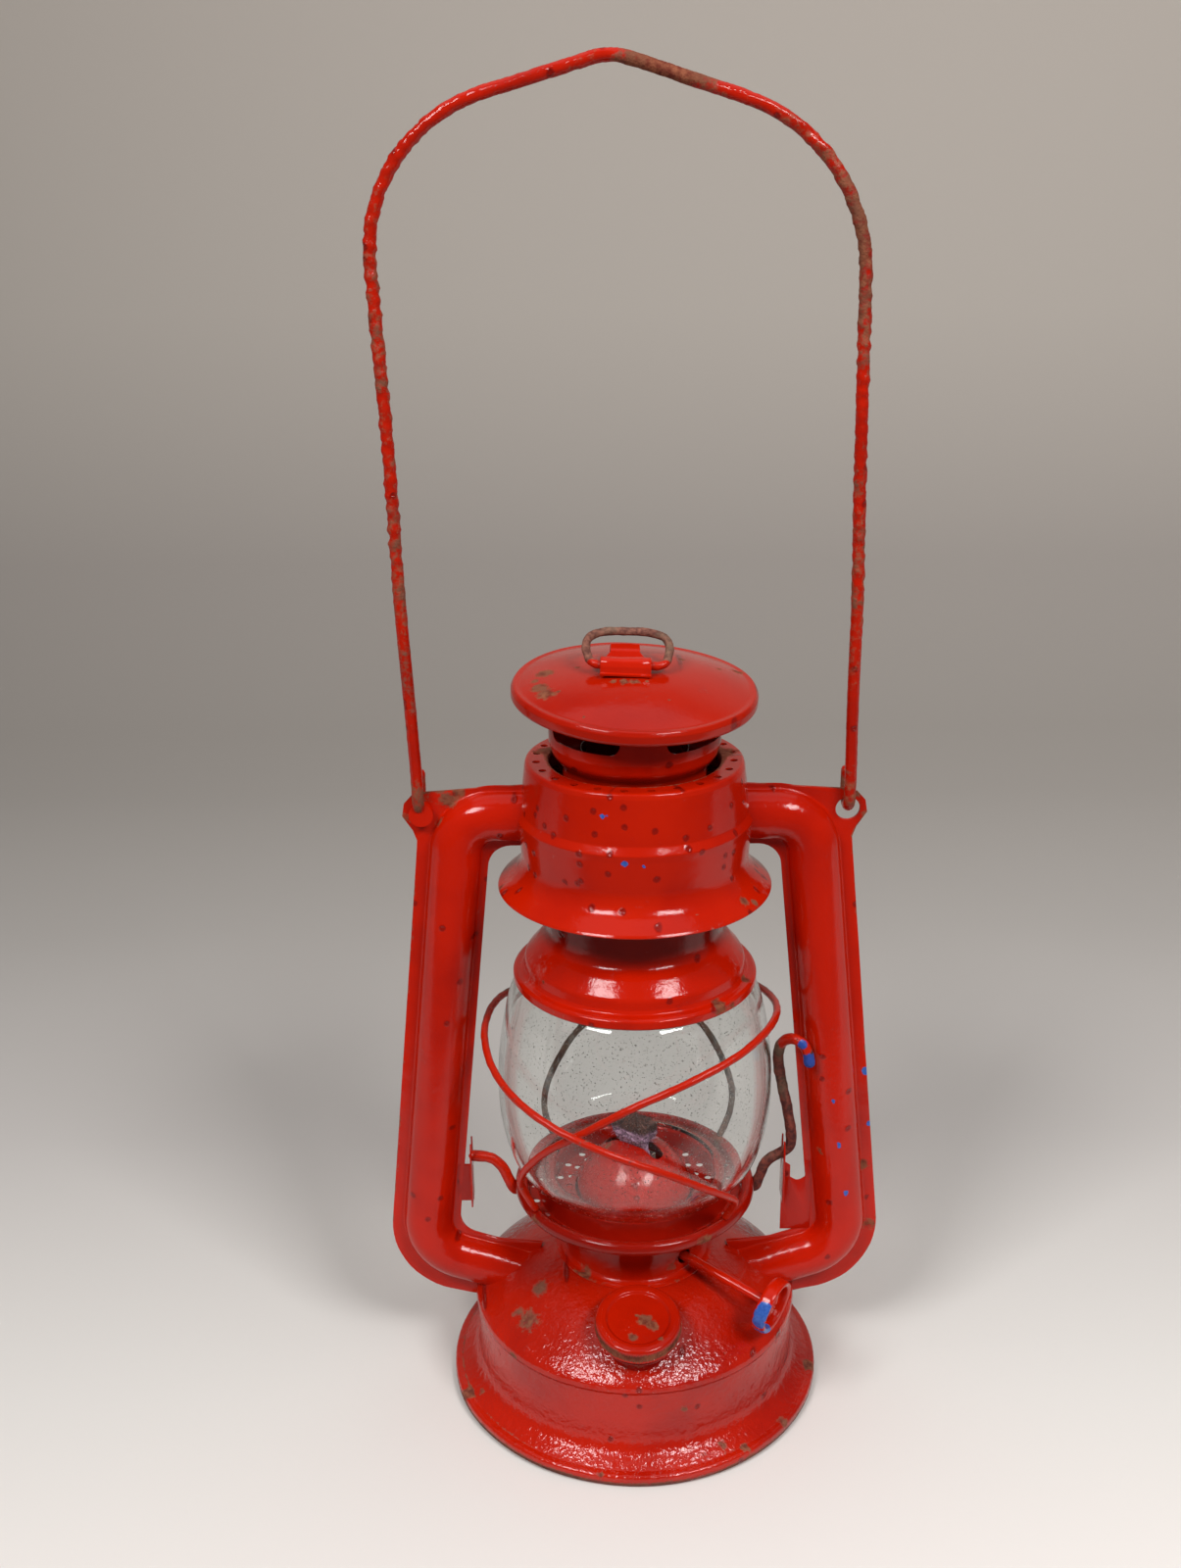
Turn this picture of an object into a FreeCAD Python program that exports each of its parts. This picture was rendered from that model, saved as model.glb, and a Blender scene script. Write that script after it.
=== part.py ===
import FreeCAD, Part
import math
import os
import Sketcher

# Hurricane lantern: tank, side tubes, hood, sprung chimney, lifting globe and wick burner.
# Millimetres. X runs across the two side tubes, -Y faces the viewer, Z is up.
# The origin is the middle of the face that the tank stands on.

doc = FreeCAD.newDocument("HurricaneLantern")
Vector = FreeCAD.Vector

# Driving dimensions, each written once. Angles are in degrees.
drivingSizes = {
    # Pressed sheet and the gaps between pieces
    "sheet_wall": 0.5,
    "seam_gap": 0.1,  # between pieces that are crimped or soldered together
    "running_gap": 0.3,  # between pieces that move apart
    # Cutters, which run well past what they cut
    "pierce": 10.0,  # how far a piercing pin runs, half on each side of the sheet
    "far_cut": 30.0,  # how far a longer cutter runs
    "space_side": 200.0,  # a block that takes in the whole of one side of the lantern
    "space_height": 300.0,
    # Tank
    "bead_radius": 60.0,  # outside of the rolled foot
    "bead_width": 4.0,
    "bead_height": 4.2,
    "bead_round": 1.5,
    "tank_radius": 51.5,
    "flare_start": 14.0,  # height where the wall begins to spread
    "flare_foot": 57.4,
    "flare_bend": 13.0,
    "crease_height": 30.8,
    "crease_out": 0.5,
    "crease_drop": 2.4,
    "dome_height": 46.1,
    "dome_land": 25.3,  # flat seat of the burner collar
    "tank_hole": 20.0,
    "floor_height": 14.5,
    "floor_skirt": 4.0,
    "chamber_height": 29.0,
    "chamber_skirt": 3.0,
    "chamber_hole": 12.0,
    # Burner collar and burner
    "collar_radius": 22.5,
    "collar_flange": 25.0,
    "collar_top": 66.2,
    "collar_lip": 20.2,
    "burner_radius": 17.5,
    "burner_floor": 50.0,
    "burner_flange": 62.6,
    "cone_radius": 18.5,
    "cone_knee_height": 70.0,
    "cone_top": 84.4,
    "cone_crown": 6.5,  # half width of the nearly flat crown
    "cone_knee_rounding": 4.0,
    "cone_crown_rounding": 2.5,
    "slot_length": 20.0,
    "slot_width": 5.0,
    "draught_hole": 1.8,
    "draught_count": 16,
    "draught_circle": 13.0,
    "collar_shaft_room": 0.7,
    "notch_width": 1.6,  # the slot beside the shaft's hole
    "notch_length": 5.0,
    # Wick and its tube
    "wick_width": 12.0,
    "wick_thick": 2.5,
    "wick_top": 93.0,
    "wick_foot": 20.0,
    "wick_gap": 0.35,
    "wick_tube_top": 81.0,
    "wick_tube_foot": 45.0,
    "wick_tube_wall": 0.4,
    "window_play": 1.1,  # round the wheels, in the tube's window
    # Wick shaft, knob and toothed wheels
    "shaft_bearing_angle": 56.2,  # swing of the shaft from the front towards the right
    "shaft_angle": 10.4,  # drop of the shaft towards the knob
    "shaft_offset": 5.0,
    "shaft_height": 56.0,
    "shaft_radius": 1.6,
    "shaft_inner_end": 8.0,
    "knob_reach": 54.0,
    "shaft_play": 0.1,
    "wheel_radius": 3.4,
    "wheel_width": 2.0,
    "wheel_place": 3.4,
    "wheel_teeth": 12,
    "tooth_gap": 0.7,
    "knob_radius": 8.75,
    "knob_roll": 1.15,
    "knob_web": 0.8,
    "knob_hub": 2.6,
    "knob_hub_length": 4.0,
    "knob_window": 2.6,
    "knob_window_place": 5.0,
    # Filler
    "filler_tilt_angle": 13.0,
    "filler_forward": 41.2,
    "filler_height": 48.2,
    "filler_cap_radius": 13.3,
    "filler_band": 4.9,
    "filler_face": 9.8,
    "filler_dish": 0.7,
    "filler_neck": 10.0,
    "filler_thread": 12.2,
    "filler_thread_length": 3.0,
    "filler_neck_length": 17.5,
    "filler_well": 11.2,
    "gasket_thick": 0.8,
    # Side tubes
    "tube_corner": 52.2,  # distance of the upper corner of the tube centreline from the axis
    "tube_height": 196.0,
    "tube_foot_corner": 68.2,  # the lower corner of the centreline
    "tube_foot_height": 45.16,
    "arm_angle": 18.0,
    "arm_length": 36.0,
    "tube_start": 30.0,
    "tube_half_width": 7.65,
    "tube_depth": 7.5,
    "upper_bend": 13.0,
    "lower_bend": 14.4,
    "outer_flange": 4.0,
    "arm_flange": 2.0,
    "inner_flange": 2.0,
    "web_top_round": 8.0,
    "web_foot_round": 25.0,
    "web_inner_round": 6.0,
    "ear_out": 10.8,  # beyond the upper corner of the centreline
    "ear_rise": 1.3,  # above the level run, as all the rises and drops of the hood
    "ear_radius": 5.7,
    "ear_hole": 3.6,
    # Hood
    "hood_lip_radius": 41.0,
    "hood_lip_drop": 21.5,
    "hood_radius": 34.2,
    "hood_neck_drop": 14.5,
    "hood_flare_bend": 9.5,
    "hood_bead": 0.7,
    "hood_bead_rise": 1.3,
    "hood_top_radius": 32.2,
    "hood_top_rise": 17.8,
    "hood_shoulder": 2.4,
    "hood_opening": 25.2,
    "vent_circle": 28.9,
    "vent_hole": 2.2,
    "vent_count": 24,
    # Guide ring inside the hood, and the spring below it
    "guide_drop": 10.3,  # below the top of the hood
    "guide_skirt": 3.0,
    "guide_hole_circle": 27.5,
    "guide_hole": 7.0,
    "guide_hole_count": 8,
    "spring_radius": 20.5,
    "spring_wire": 1.5,
    "spring_turns": 6,
    # Bell, chimney tube and vented tent
    "bell_lip_radius": 37.2,
    "bell_lip_foot": 143.6,
    "bell_lip_height": 3.4,
    "bell_lip_turn": 1.1,
    "bell_shoulder_radius": 33.6,
    "bell_shoulder_foot": 149.0,
    "bell_neck_radius": 26.0,
    "bell_neck_foot": 158.0,
    "bell_neck_top": 172.0,
    "bell_bend": 9.5,
    "chimney_radius": 16.0,
    "chimney_foot": 160.0,
    "chimney_rise": 3.2,  # above the top of the hood
    "guide_play": 0.7,
    "tent_drop": 8.8,  # below the top of the hood
    "tent_radius": 21.0,
    "tent_step_rise": 2.2,  # above the top of the hood, as the rises below
    "tent_wall_radius": 25.2,
    "tent_wall_rise": 6.0,
    "tent_turn_angle": 4.0,
    "window_rise": 8.6,
    "window_angle": 60.0,
    # Cap, strap and lifting ring
    "cap_radius": 35.65,
    "cap_place": 21.95,  # centre of the upper rim, above the top of the hood
    "cap_pitch_angle": 5.1,  # the cap has settled forward
    "cap_roll_angle": 2.3,  # and a little to the right
    "cap_rise": 6.0,
    "cap_rim": 4.0,
    "cap_curl": 2.0,
    "cap_shoulder": 1.7,
    "strap_width": 14.4,
    "strap_shift": -3.1,
    "strap_front": -9.0,
    "strap_back": 9.0,
    "strap_thick": 0.6,
    "hump_width": 8.5,
    "hump_depth": 3.4,
    "knuckle_radius": 2.0,
    "hinge_forward": 6.0,
    "hinge_rise": 2.1,  # hinge above the strap's underside
    "ring_wire": 2.4,
    "ring_foot": 10.8,
    "ring_half_width": 12.3,
    "ring_length": 15.0,
    "ring_shift": -2.4,
    "ring_lean_angle": 20.0,
    "ring_foot_round": 3.0,
    "ring_far_round": 8.5,
    "ring_end_gap": 0.8,
    # Bail
    "bail_wire": 3.6,
    "hook_radius": 3.6,
    "hook_tail": 8.0,
    "bail_seat": 0.8,  # the hooks' pivot above the top of the ear's hole
    "bail_left_out": 0.6,  # of the left hook beyond the ear's middle
    "bail_right_out": -0.1,
    "bail_left_corner": -70.6,
    "bail_left_rise": 186.7,  # above the ears
    "bail_apex": -5.8,
    "bail_apex_rise": 205.0,
    "bail_right_corner": 59.4,
    "bail_right_rise": 183.9,
    "bail_straight": 6.0,  # run of wire straight up from the pivot
    "bail_side_bend": 60.0,
    "bail_left_bend": 71.0,
    "bail_apex_bend": 12.0,
    "bail_right_bend": 62.0,
    # Globe
    "glass_wall": 1.8,
    "glass_foot_radius": 29.5,
    "glass_foot_width": 2.6,
    "glass_heel_radius": 31.5,
    "glass_heel_rise": 0.8,
    "glass_low_radius": 39.8,
    "glass_low_height": 85.5,
    "glass_radius": 42.9,
    "glass_belly": 106.0,
    "glass_high_radius": 39.0,
    "glass_high_height": 137.0,
    "glass_neck_radius": 29.0,
    "glass_neck_height": 148.5,
    "glass_mouth_radius": 28.2,
    "glass_top": 152.0,
    "glass_heel_bend": 20.0,
    "glass_low_bend": 69.3,
    "glass_high_bend": 125.0,
    "glass_shoulder_bend": 16.0,
    # Globe plate
    "plate_rim_radius": 37.9,
    "plate_roll": 3.2,
    "plate_roll_round": 1.45,
    "plate_groove_outer": 34.2,
    "plate_groove_inner": 30.7,
    "plate_floor": 67.0,
    "plate_step_radius": 29.0,
    "plate_step_height": 72.0,
    "plate_ridge_inner": 26.4,
    "plate_ridge": 73.5,
    "plate_hole": 19.5,
    "groove_holes": 24,
    "groove_hole": 2.4,
    "floor_holes": 20,
    "floor_hole": 2.3,
    "floor_circle_outer": 24.4,
    "floor_circle_inner": 21.3,
    # Wires of the globe carrier
    "guard_wire": 2.3,
    "lift_wire": 3.4,
    "lift_circle": 32.5,
    "lift_stub": 1.2,  # the left end, beyond its flap
    "lift_bend": 5.4,  # room that the wire takes to bend between plate and slit
    "lever_rise": 46.6,  # from the slit to the top of the lever's hook
    # Lift brackets
    "flap_gap": 3.2,  # from the flap to the inner edge of the tube's flange
    "flap_half": 4.4,
    "flap_foot": 62.4,
    "flap_shoulder": 80.5,
    "flap_tip": 84.6,
    "slit_foot": 76.8,
    "slit_play": 0.3,
    "tab_lap": 2.0,  # how far the brackets lie over the flange
    "tab_top": 76.0,
    "plate_reach": 4.5,  # of the notched plate, inward from the flap
    "plate_foot": 50.5,
    "plate_top": 76.5,
    "notch_in": 1.8,  # from the flap inward
    "notch_out": 3.0,
    "notch_foot": 69.0,
}

sheet = doc.addObject("Spreadsheet::Sheet", "Sizes")
for row, (name, value) in enumerate(drivingSizes.items(), start=1):
    sheet.set("A%d" % row, name.replace("_", " "))
    sheet.set("B%d" % row, repr(value))
    sheet.setAlias("B%d" % row, name)
doc.recompute()


class Size:
    """A length or angle: its value now, and the sheet formula that it follows."""

    def __init__(self, value, formula):
        self.value = value
        self.formula = formula

    def __add__(self, other):
        other = asSize(other)
        return Size(self.value + other.value, "(%s + %s)" % (self.formula, other.formula))

    def __sub__(self, other):
        other = asSize(other)
        return Size(self.value - other.value, "(%s - %s)" % (self.formula, other.formula))

    def __mul__(self, other):
        other = asSize(other)
        return Size(self.value * other.value, "(%s * %s)" % (self.formula, other.formula))

    def __truediv__(self, other):
        other = asSize(other)
        return Size(self.value / other.value, "(%s / %s)" % (self.formula, other.formula))

    def __neg__(self):
        return Size(-self.value, "(0 - %s)" % self.formula)

    def __radd__(self, other):
        return asSize(other) + self

    def __rsub__(self, other):
        return asSize(other) - self

    def __rmul__(self, other):
        return asSize(other) * self

    def __rtruediv__(self, other):
        return asSize(other) / self


def asSize(number):
    return number if isinstance(number, Size) else Size(float(number), repr(float(number)))


def sine(angle):
    return Size(math.sin(math.radians(angle.value)), "sin(%s)" % angle.formula)


def cosine(angle):
    return Size(math.cos(math.radians(angle.value)), "cos(%s)" % angle.formula)


def root(length):
    return Size(math.sqrt(length.value), "sqrt(%s)" % length.formula)


class SizeSheet:
    """Reads the driving dimensions by name."""

    def __getattr__(self, name):
        return Size(float(sheet.get(name)), "Sizes.%s" % name)


size = SizeSheet()
subParts = []


def finish(item, name):
    """Keeps an item as one sub-part of the lantern."""
    item.Label = name
    subParts.append(item)
    return item


def bind(item, **sizes):
    for name, length in sizes.items():
        item.setExpression(name, asSize(length).formula)


def place(item, x=0, y=0, z=0, turns=()):
    """Puts an item at x, y, z after the turns, each an axis and an angle, the last one first."""
    shift = "vector(%s; %s; %s)" % tuple(asSize(v).formula for v in (x, y, z))
    axes = {"X": "vector(1; 0; 0)", "Y": "vector(0; 1; 0)", "Z": "vector(0; 0; 1)"}
    rotations = ["rotation(%s; %s)" % (axes[axis], asSize(angle).formula) for axis, angle in turns]
    turned = " * ".join(rotations) if rotations else "rotation(0; 0; 0)"
    item.setExpression("Placement", "placement(%s; %s)" % (shift, turned))


# Outlines

class Corner:
    """A point of an outline. It may be rounded, or reached by an arc from the point before."""

    def __init__(self, x, y, rounding=None, bend=None, left=True):
        self.x = asSize(x)
        self.y = asSize(y)
        self.rounding = rounding
        self.bend = bend
        self.left = left


def at(x, y):
    return Corner(x, y)


def rounded(x, y, radius):
    return Corner(x, y, rounding=asSize(radius))


def bentLeft(x, y, radius):
    return Corner(x, y, bend=asSize(radius), left=True)


def bentRight(x, y, radius):
    return Corner(x, y, bend=asSize(radius), left=False)


def sphereThrough(x1, y1, x2, y2):
    """The height of the centre, and the radius, of the sphere about Z through two points."""
    centre = (y1 * y1 - y2 * y2 + x1 * x1 - x2 * x2) / ((y1 - y2) * 2)
    return centre, root(x1 * x1 + (y1 - centre) * (y1 - centre))


def domed(before, x, y, left):
    """Reached from the corner before by an arc that turns into part of a sphere."""
    x, y = asSize(x), asSize(y)
    radius = sphereThrough(before.x, before.y, x, y)[1]
    return bentLeft(x, y, radius) if left else bentRight(x, y, radius)


def arcAround(centre, radius, start, end, left):
    """An arc for a sketch, and which of its ends comes first and last along the outline."""
    first = math.atan2(start.y - centre.y, start.x - centre.x)
    last = math.atan2(end.y - centre.y, end.x - centre.x)
    circle = Part.Circle(centre, Vector(0, 0, 1), radius)
    if left:
        return Part.ArcOfCircle(circle, first, last if last > first else last + 2 * math.pi), 1, 2
    return Part.ArcOfCircle(circle, last, first if first > last else first + 2 * math.pi), 2, 1


def draw(sketch, corners, closed=False):
    """Draws an outline, fully constrained to its corners, roundings and bends."""
    count = len(corners)
    spots = [Vector(c.x.value, c.y.value, 0) for c in corners]
    arrive = list(spots)
    leave = list(spots)
    centres = {}
    for i, corner in enumerate(corners):
        if corner.rounding is None:
            continue
        into = (spots[i] - spots[i - 1]).normalize()
        away = (spots[(i + 1) % count] - spots[i]).normalize()
        turn = into.getAngle(away)
        reach = corner.rounding.value * math.tan(turn / 2)
        arrive[i] = spots[i] - into * reach
        leave[i] = spots[i] + away * reach
        turnsLeft = into.cross(away).z > 0
        side = Vector(-into.y, into.x, 0) * (1 if turnsLeft else -1)
        centres[i] = (arrive[i] + side * corner.rounding.value, turnsLeft)
    arriving = {}
    leaving = {}
    for i in range(count if closed else count - 1):
        j = (i + 1) % count
        start, end, corner = leave[i], arrive[j], corners[j]
        first, last = 1, 2
        if corner.bend is None:
            edge = sketch.addGeometry(Part.LineSegment(start, end))
        else:
            chord = end - start
            radius = corner.bend.value
            rise = math.sqrt(radius ** 2 - (chord.Length / 2) ** 2)
            side = Vector(-chord.y, chord.x, 0).normalize() * (1 if corner.left else -1)
            centre = (start + end) * 0.5 + side * rise
            arc, first, last = arcAround(centre, radius, start, end, corner.left)
            edge = sketch.addGeometry(arc)
            hold(sketch, corner.bend, "Radius", edge)
        leaving[i] = (edge, first)
        arriving[j] = (edge, last)
    for i, corner in enumerate(corners):
        if i in centres:
            centre, turnsLeft = centres[i]
            arc, first, last = arcAround(centre, corner.rounding.value, arrive[i], leave[i], turnsLeft)
            edge = sketch.addGeometry(arc)
            hold(sketch, corner.rounding, "Radius", edge)
            sketch.addConstraint(Sketcher.Constraint("Tangent", *arriving[i], edge, first))
            sketch.addConstraint(Sketcher.Constraint("Tangent", edge, last, *leaving[i]))
            point = sketch.addGeometry(Part.Point(spots[i]), True)
            sketch.addConstraint(Sketcher.Constraint("PointOnObject", point, 1, arriving[i][0]))
            sketch.addConstraint(Sketcher.Constraint("PointOnObject", point, 1, leaving[i][0]))
            spot = (point, 1)
        elif i in arriving and i in leaving:
            sketch.addConstraint(Sketcher.Constraint("Coincident", *arriving[i], *leaving[i]))
            spot = leaving[i]
        else:
            spot = leaving[i] if i in leaving else arriving[i]
        hold(sketch, corner.x, "DistanceX", -1, 1, *spot)
        hold(sketch, corner.y, "DistanceY", -1, 1, *spot)


def hold(sketch, length, kind, *where):
    """Constrains a sketch to a size of the sheet."""
    index = sketch.addConstraint(Sketcher.Constraint(kind, *where, length.value))
    sketch.setExpression("Constraints[%d]" % index, length.formula)


def looseSketch(name):
    """A sketch that stands in the XZ plane."""
    sketch = doc.addObject("Sketcher::SketchObject", name)
    sketch.Placement = FreeCAD.Placement(Vector(), FreeCAD.Rotation(Vector(1, 0, 0), 90))
    return sketch


def bodySketch(body, name, role):
    sketch = body.newObject("Sketcher::SketchObject", name)
    plane = [item for item in body.Origin.OriginFeatures if item.Role == role][0]
    sketch.AttachmentSupport = [(plane, "")]
    sketch.MapMode = "FlatFace"
    return sketch


# Ways of making a piece

def strip(sketch, wall, name, join):
    """A face as wide as the sheet, on the left of an open outline."""
    face = doc.addObject("Part::Offset2D", name)
    face.Source = sketch
    face.Fill = True
    face.Mode = "Skin"
    face.Join = join
    bind(face, Value=wall)
    return face


def spun(name, corners, wall=None, join="Intersection"):
    """Sheet metal or glass turned about Z from its outer outline."""
    sketch = looseSketch(name + "Outline")
    draw(sketch, corners)
    turned = doc.addObject("Part::Revolution", name + "Spun")
    turned.Source = strip(sketch, wall if wall else size.sheet_wall, name + "Section", join)
    turned.Axis = Vector(0, 0, 1)
    turned.Angle = 360
    turned.Solid = True
    return turned


def lathed(name, corners):
    """A solid turned about Z from a closed outline."""
    body = doc.addObject("PartDesign::Body", name)
    sketch = bodySketch(body, name + "Outline", "XZ_Plane")
    draw(sketch, corners, closed=True)
    turned = body.newObject("PartDesign::Revolution", name + "Turned")
    turned.Profile = sketch
    turned.ReferenceAxis = (sketch, ["V_Axis"])
    turned.Angle = 360
    return body


def padded(name, corners, role, length):
    """A plate cut to a closed outline, its thickness along the plane's own normal."""
    body = doc.addObject("PartDesign::Body", name)
    sketch = bodySketch(body, name + "Outline", role)
    draw(sketch, corners, closed=True)
    pad = body.newObject("PartDesign::Pad", name + "Pad")
    pad.Profile = sketch
    bind(pad, Length=length)
    return body


def cylinder(name, radius, length):
    item = doc.addObject("Part::Cylinder", name)
    bind(item, Radius=radius, Height=length)
    return item


def block(name, length, width, height):
    item = doc.addObject("Part::Box", name)
    bind(item, Length=length, Width=width, Height=height)
    return item


def ringOf(name, circle, hole, count, foot, length, quarter=0):
    """A circle of pins, for piercing a ring of holes."""
    body = doc.addObject("PartDesign::Body", name)
    body.AllowCompound = True
    pin = body.newObject("PartDesign::AdditiveCylinder", name + "Pin")
    bind(pin, Radius=hole / 2, Height=length)
    place(pin, circle, 0, foot)
    pattern = body.newObject("PartDesign::PolarPattern", name + "Pattern")
    pattern.Originals = [pin]
    pattern.Axis = ([item for item in body.Origin.OriginFeatures if item.Role == "Z_Axis"][0], [""])
    pattern.Angle = 360
    bind(pattern, Occurrences=count)
    body.Tip = pattern
    place(body, turns=[("Z", quarter)])
    return body


def cut(name, base, *tools):
    """The base with every tool taken away, one after another."""
    for step, tool in enumerate(tools, start=1):
        piece = doc.addObject("Part::Cut", "%sCut%d" % (name, step))
        piece.Base = base
        piece.Tool = tool
        base = piece
    return base


def fuse(name, *items):
    piece = doc.addObject("Part::MultiFuse", name)
    piece.Shapes = list(items)
    return piece


def common(name, *items):
    piece = doc.addObject("Part::MultiCommon", name)
    piece.Shapes = list(items)
    return piece


def mirrored(name, source, normal):
    piece = doc.addObject("Part::Mirroring", name)
    piece.Source = source
    piece.Normal = normal
    return piece


# Round wire bent through points in space. These routes have no flat sketch plane.

def wireRoute(points, radii):
    """A path of straight runs joined by tangent arcs, one radius for each inner point."""
    edges = []
    start = points[0]
    for before, here, after, radius in zip(points, points[1:], points[2:], radii):
        into = (here - before).normalize()
        away = (after - here).normalize()
        turn = into.getAngle(away)
        reach = radius * math.tan(turn / 2)
        first = here - into * reach
        last = here + away * reach
        middle = here + (away - into).normalize() * (radius / math.cos(turn / 2) - radius)
        if (first - start).Length > 1e-4:
            edges.append(Part.LineSegment(start, first).toShape())
        edges.append(Part.Arc(first, middle, last).toShape())
        start = last
    edges.append(Part.LineSegment(start, points[-1]).toShape())
    return Part.Wire(edges)


def easyRadii(points):
    """The largest bend that each inner point has room for."""
    radii = []
    for before, here, after in zip(points, points[1:], points[2:]):
        into = here - before
        away = after - here
        radii.append(0.45 * min(into.Length, away.Length) / math.tan(into.getAngle(away) / 2))
    return radii


def wireTube(name, route, diameter):
    """Round wire along a route."""
    start = route.Edges[0]
    direction = start.tangentAt(start.FirstParameter)
    circle = Part.Circle(start.valueAt(start.FirstParameter), direction, diameter / 2)
    tube = route.makePipeShell([Part.Wire(circle.toShape())], True, False)
    volume = math.pi * diameter ** 2 / 4 * route.Length
    print("%-18s tube volume over section times length %.4f" % (name, tube.Volume / volume))
    item = doc.addObject("Part::Feature", name)
    item.Shape = tube
    item.Placement = FreeCAD.Placement()
    return item


def around(degrees, radius, height):
    """A point by its bearing from the front towards +X, its distance from the axis and its height."""
    angle = math.radians(degrees)
    return Vector(radius * math.sin(angle), -radius * math.cos(angle), height)


# Heights and places that follow from the tube that carries the hood

earPlace = size.tube_corner + size.ear_out
earHeight = size.tube_height + size.ear_rise
hoodLip = size.tube_height - size.hood_lip_drop
hoodNeck = size.tube_height - size.hood_neck_drop
hoodBead = size.tube_height + size.hood_bead_rise
hoodTop = size.tube_height + size.hood_top_rise
guideHeight = hoodTop - size.guide_drop
chimneyTop = hoodTop + size.chimney_rise
tentFoot = hoodTop - size.tent_drop
windowFoot = hoodTop + size.window_rise
capHeight = hoodTop + size.cap_place


# Tank

def tankOutline(gap=0):
    """The outer face of the tank's dome from its crown to the crease, pushed out by a gap."""
    crown = at(size.dome_land, size.dome_height + gap)
    return [crown, domed(crown, size.tank_radius + gap, size.crease_height + gap, False)]


def domeSpace():
    """What the tank's dome fills, a seam larger, for trimming the tubes to it."""
    edge = tankOutline(size.seam_gap)
    return lathed("DomeSpace", [at(0, size.dome_height + size.seam_gap)] + edge
                  + [at(size.tank_radius + size.seam_gap, 0), at(0, 0)])


def tankShell():
    wall = size.tank_radius
    roll = size.bead_radius
    outline = [at(size.tank_hole, size.dome_height)] + tankOutline() + [
        rounded(wall + size.crease_out, size.crease_height - size.crease_drop / 2, size.crease_drop / 4),
        at(wall, size.crease_height - size.crease_drop),
        at(wall, size.flare_start),
        bentLeft(size.flare_foot, size.bead_height, size.flare_bend),
        rounded(roll, size.bead_height, size.bead_round),
        rounded(roll, 0, size.bead_round),
        rounded(roll - size.bead_width, 0, size.bead_round),
        at(roll - size.bead_width, size.bead_height - size.bead_round),
    ]
    return spun("TankShell", outline, -size.sheet_wall)


def fillerFrame(item, along=0):
    """Stands an item on the filler's tilted axis, a distance along it from the middle of the cap."""
    tilt = size.filler_tilt_angle
    place(item, 0, -size.filler_forward - sine(tilt) * along,
          size.filler_height + cosine(tilt) * along, [("X", tilt)])
    return item


def tankFloor():
    edge = size.tank_radius - size.sheet_wall - size.seam_gap
    outline = [
        at(edge, size.floor_height - size.floor_skirt),
        rounded(edge, size.floor_height, 1),
        at(0, size.floor_height),
    ]
    return spun("TankFloor", outline)


def airChamber():
    edge = size.tank_radius - size.sheet_wall - size.seam_gap
    outline = [
        at(edge, size.chamber_height - size.chamber_skirt),
        rounded(edge, size.chamber_height, 1),
        at(size.chamber_hole, size.chamber_height),
    ]
    neckHole = fillerFrame(cylinder("ChamberNeckHole", size.filler_neck + size.seam_gap, size.far_cut), -size.far_cut)
    return cut("AirChamber", spun("AirChamber", outline), neckHole)


def fillerNeck():
    """The neck, from the air chamber up to its threaded mouth, as it stands on the filler axis."""
    mouth = -size.filler_dish - size.sheet_wall - size.seam_gap - size.gasket_thick - size.running_gap
    outline = [
        at(size.filler_neck, mouth - size.filler_neck_length),
        at(size.filler_neck, mouth - size.filler_thread_length - 1),
        at(size.filler_thread, mouth - size.filler_thread_length),
        rounded(size.filler_thread, mouth, 0.8),
        at(size.filler_neck - 1, mouth),
    ]
    return fillerFrame(spun("FillerNeck", outline))


def fillerCap():
    radius = size.filler_cap_radius
    outline = [
        at(radius, -size.filler_band),
        rounded(radius, -size.filler_dish, 0.9),
        rounded(size.filler_face + 1, 0, 0.6),
        at(size.filler_face, 0),
        at(size.filler_face - size.filler_dish, -size.filler_dish),
        at(0, -size.filler_dish),
    ]
    return fillerFrame(spun("FillerCap", outline))


def fillerGasket():
    under = -size.filler_dish - size.sheet_wall - size.seam_gap
    gasket = lathed("FillerGasket", [
        at(size.filler_neck - 1, under - size.gasket_thick),
        at(size.filler_thread - 0.4, under - size.gasket_thick),
        at(size.filler_thread - 0.4, under),
        at(size.filler_neck - 1, under),
    ])
    return fillerFrame(gasket)


# Collar and burner

def shaftFrame(item, along=0, spin=0):
    """Stands an item on the wick shaft's axis, a distance from the axis of the lantern."""
    fall = size.shaft_angle
    bearing = size.shaft_bearing_angle
    outward = cosine(fall) * along
    place(item, sine(bearing) * outward - cosine(bearing) * size.shaft_offset,
          -cosine(bearing) * outward - sine(bearing) * size.shaft_offset,
          size.shaft_height - sine(fall) * along,
          [("Z", bearing - 90), ("Y", fall + 90), ("Z", spin)])
    return item


def wickTurn(item, x=0, y=0, z=0):
    """Turns an item about Z so that its length lies along the wick shaft."""
    place(item, x, y, z, [("Z", size.shaft_bearing_angle - 90)])
    return item


def centredBlock(name, length, width, foot, height, shift=0):
    """A block about the axis, its length along the wick shaft, shifted across it."""
    item = block(name, length, width, height)
    bearing = size.shaft_bearing_angle - 90
    along = length / 2
    across = width / 2 - shift
    wickTurn(item, sine(bearing) * across - cosine(bearing) * along,
             -(sine(bearing) * along) - cosine(bearing) * across, foot)
    return item


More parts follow.
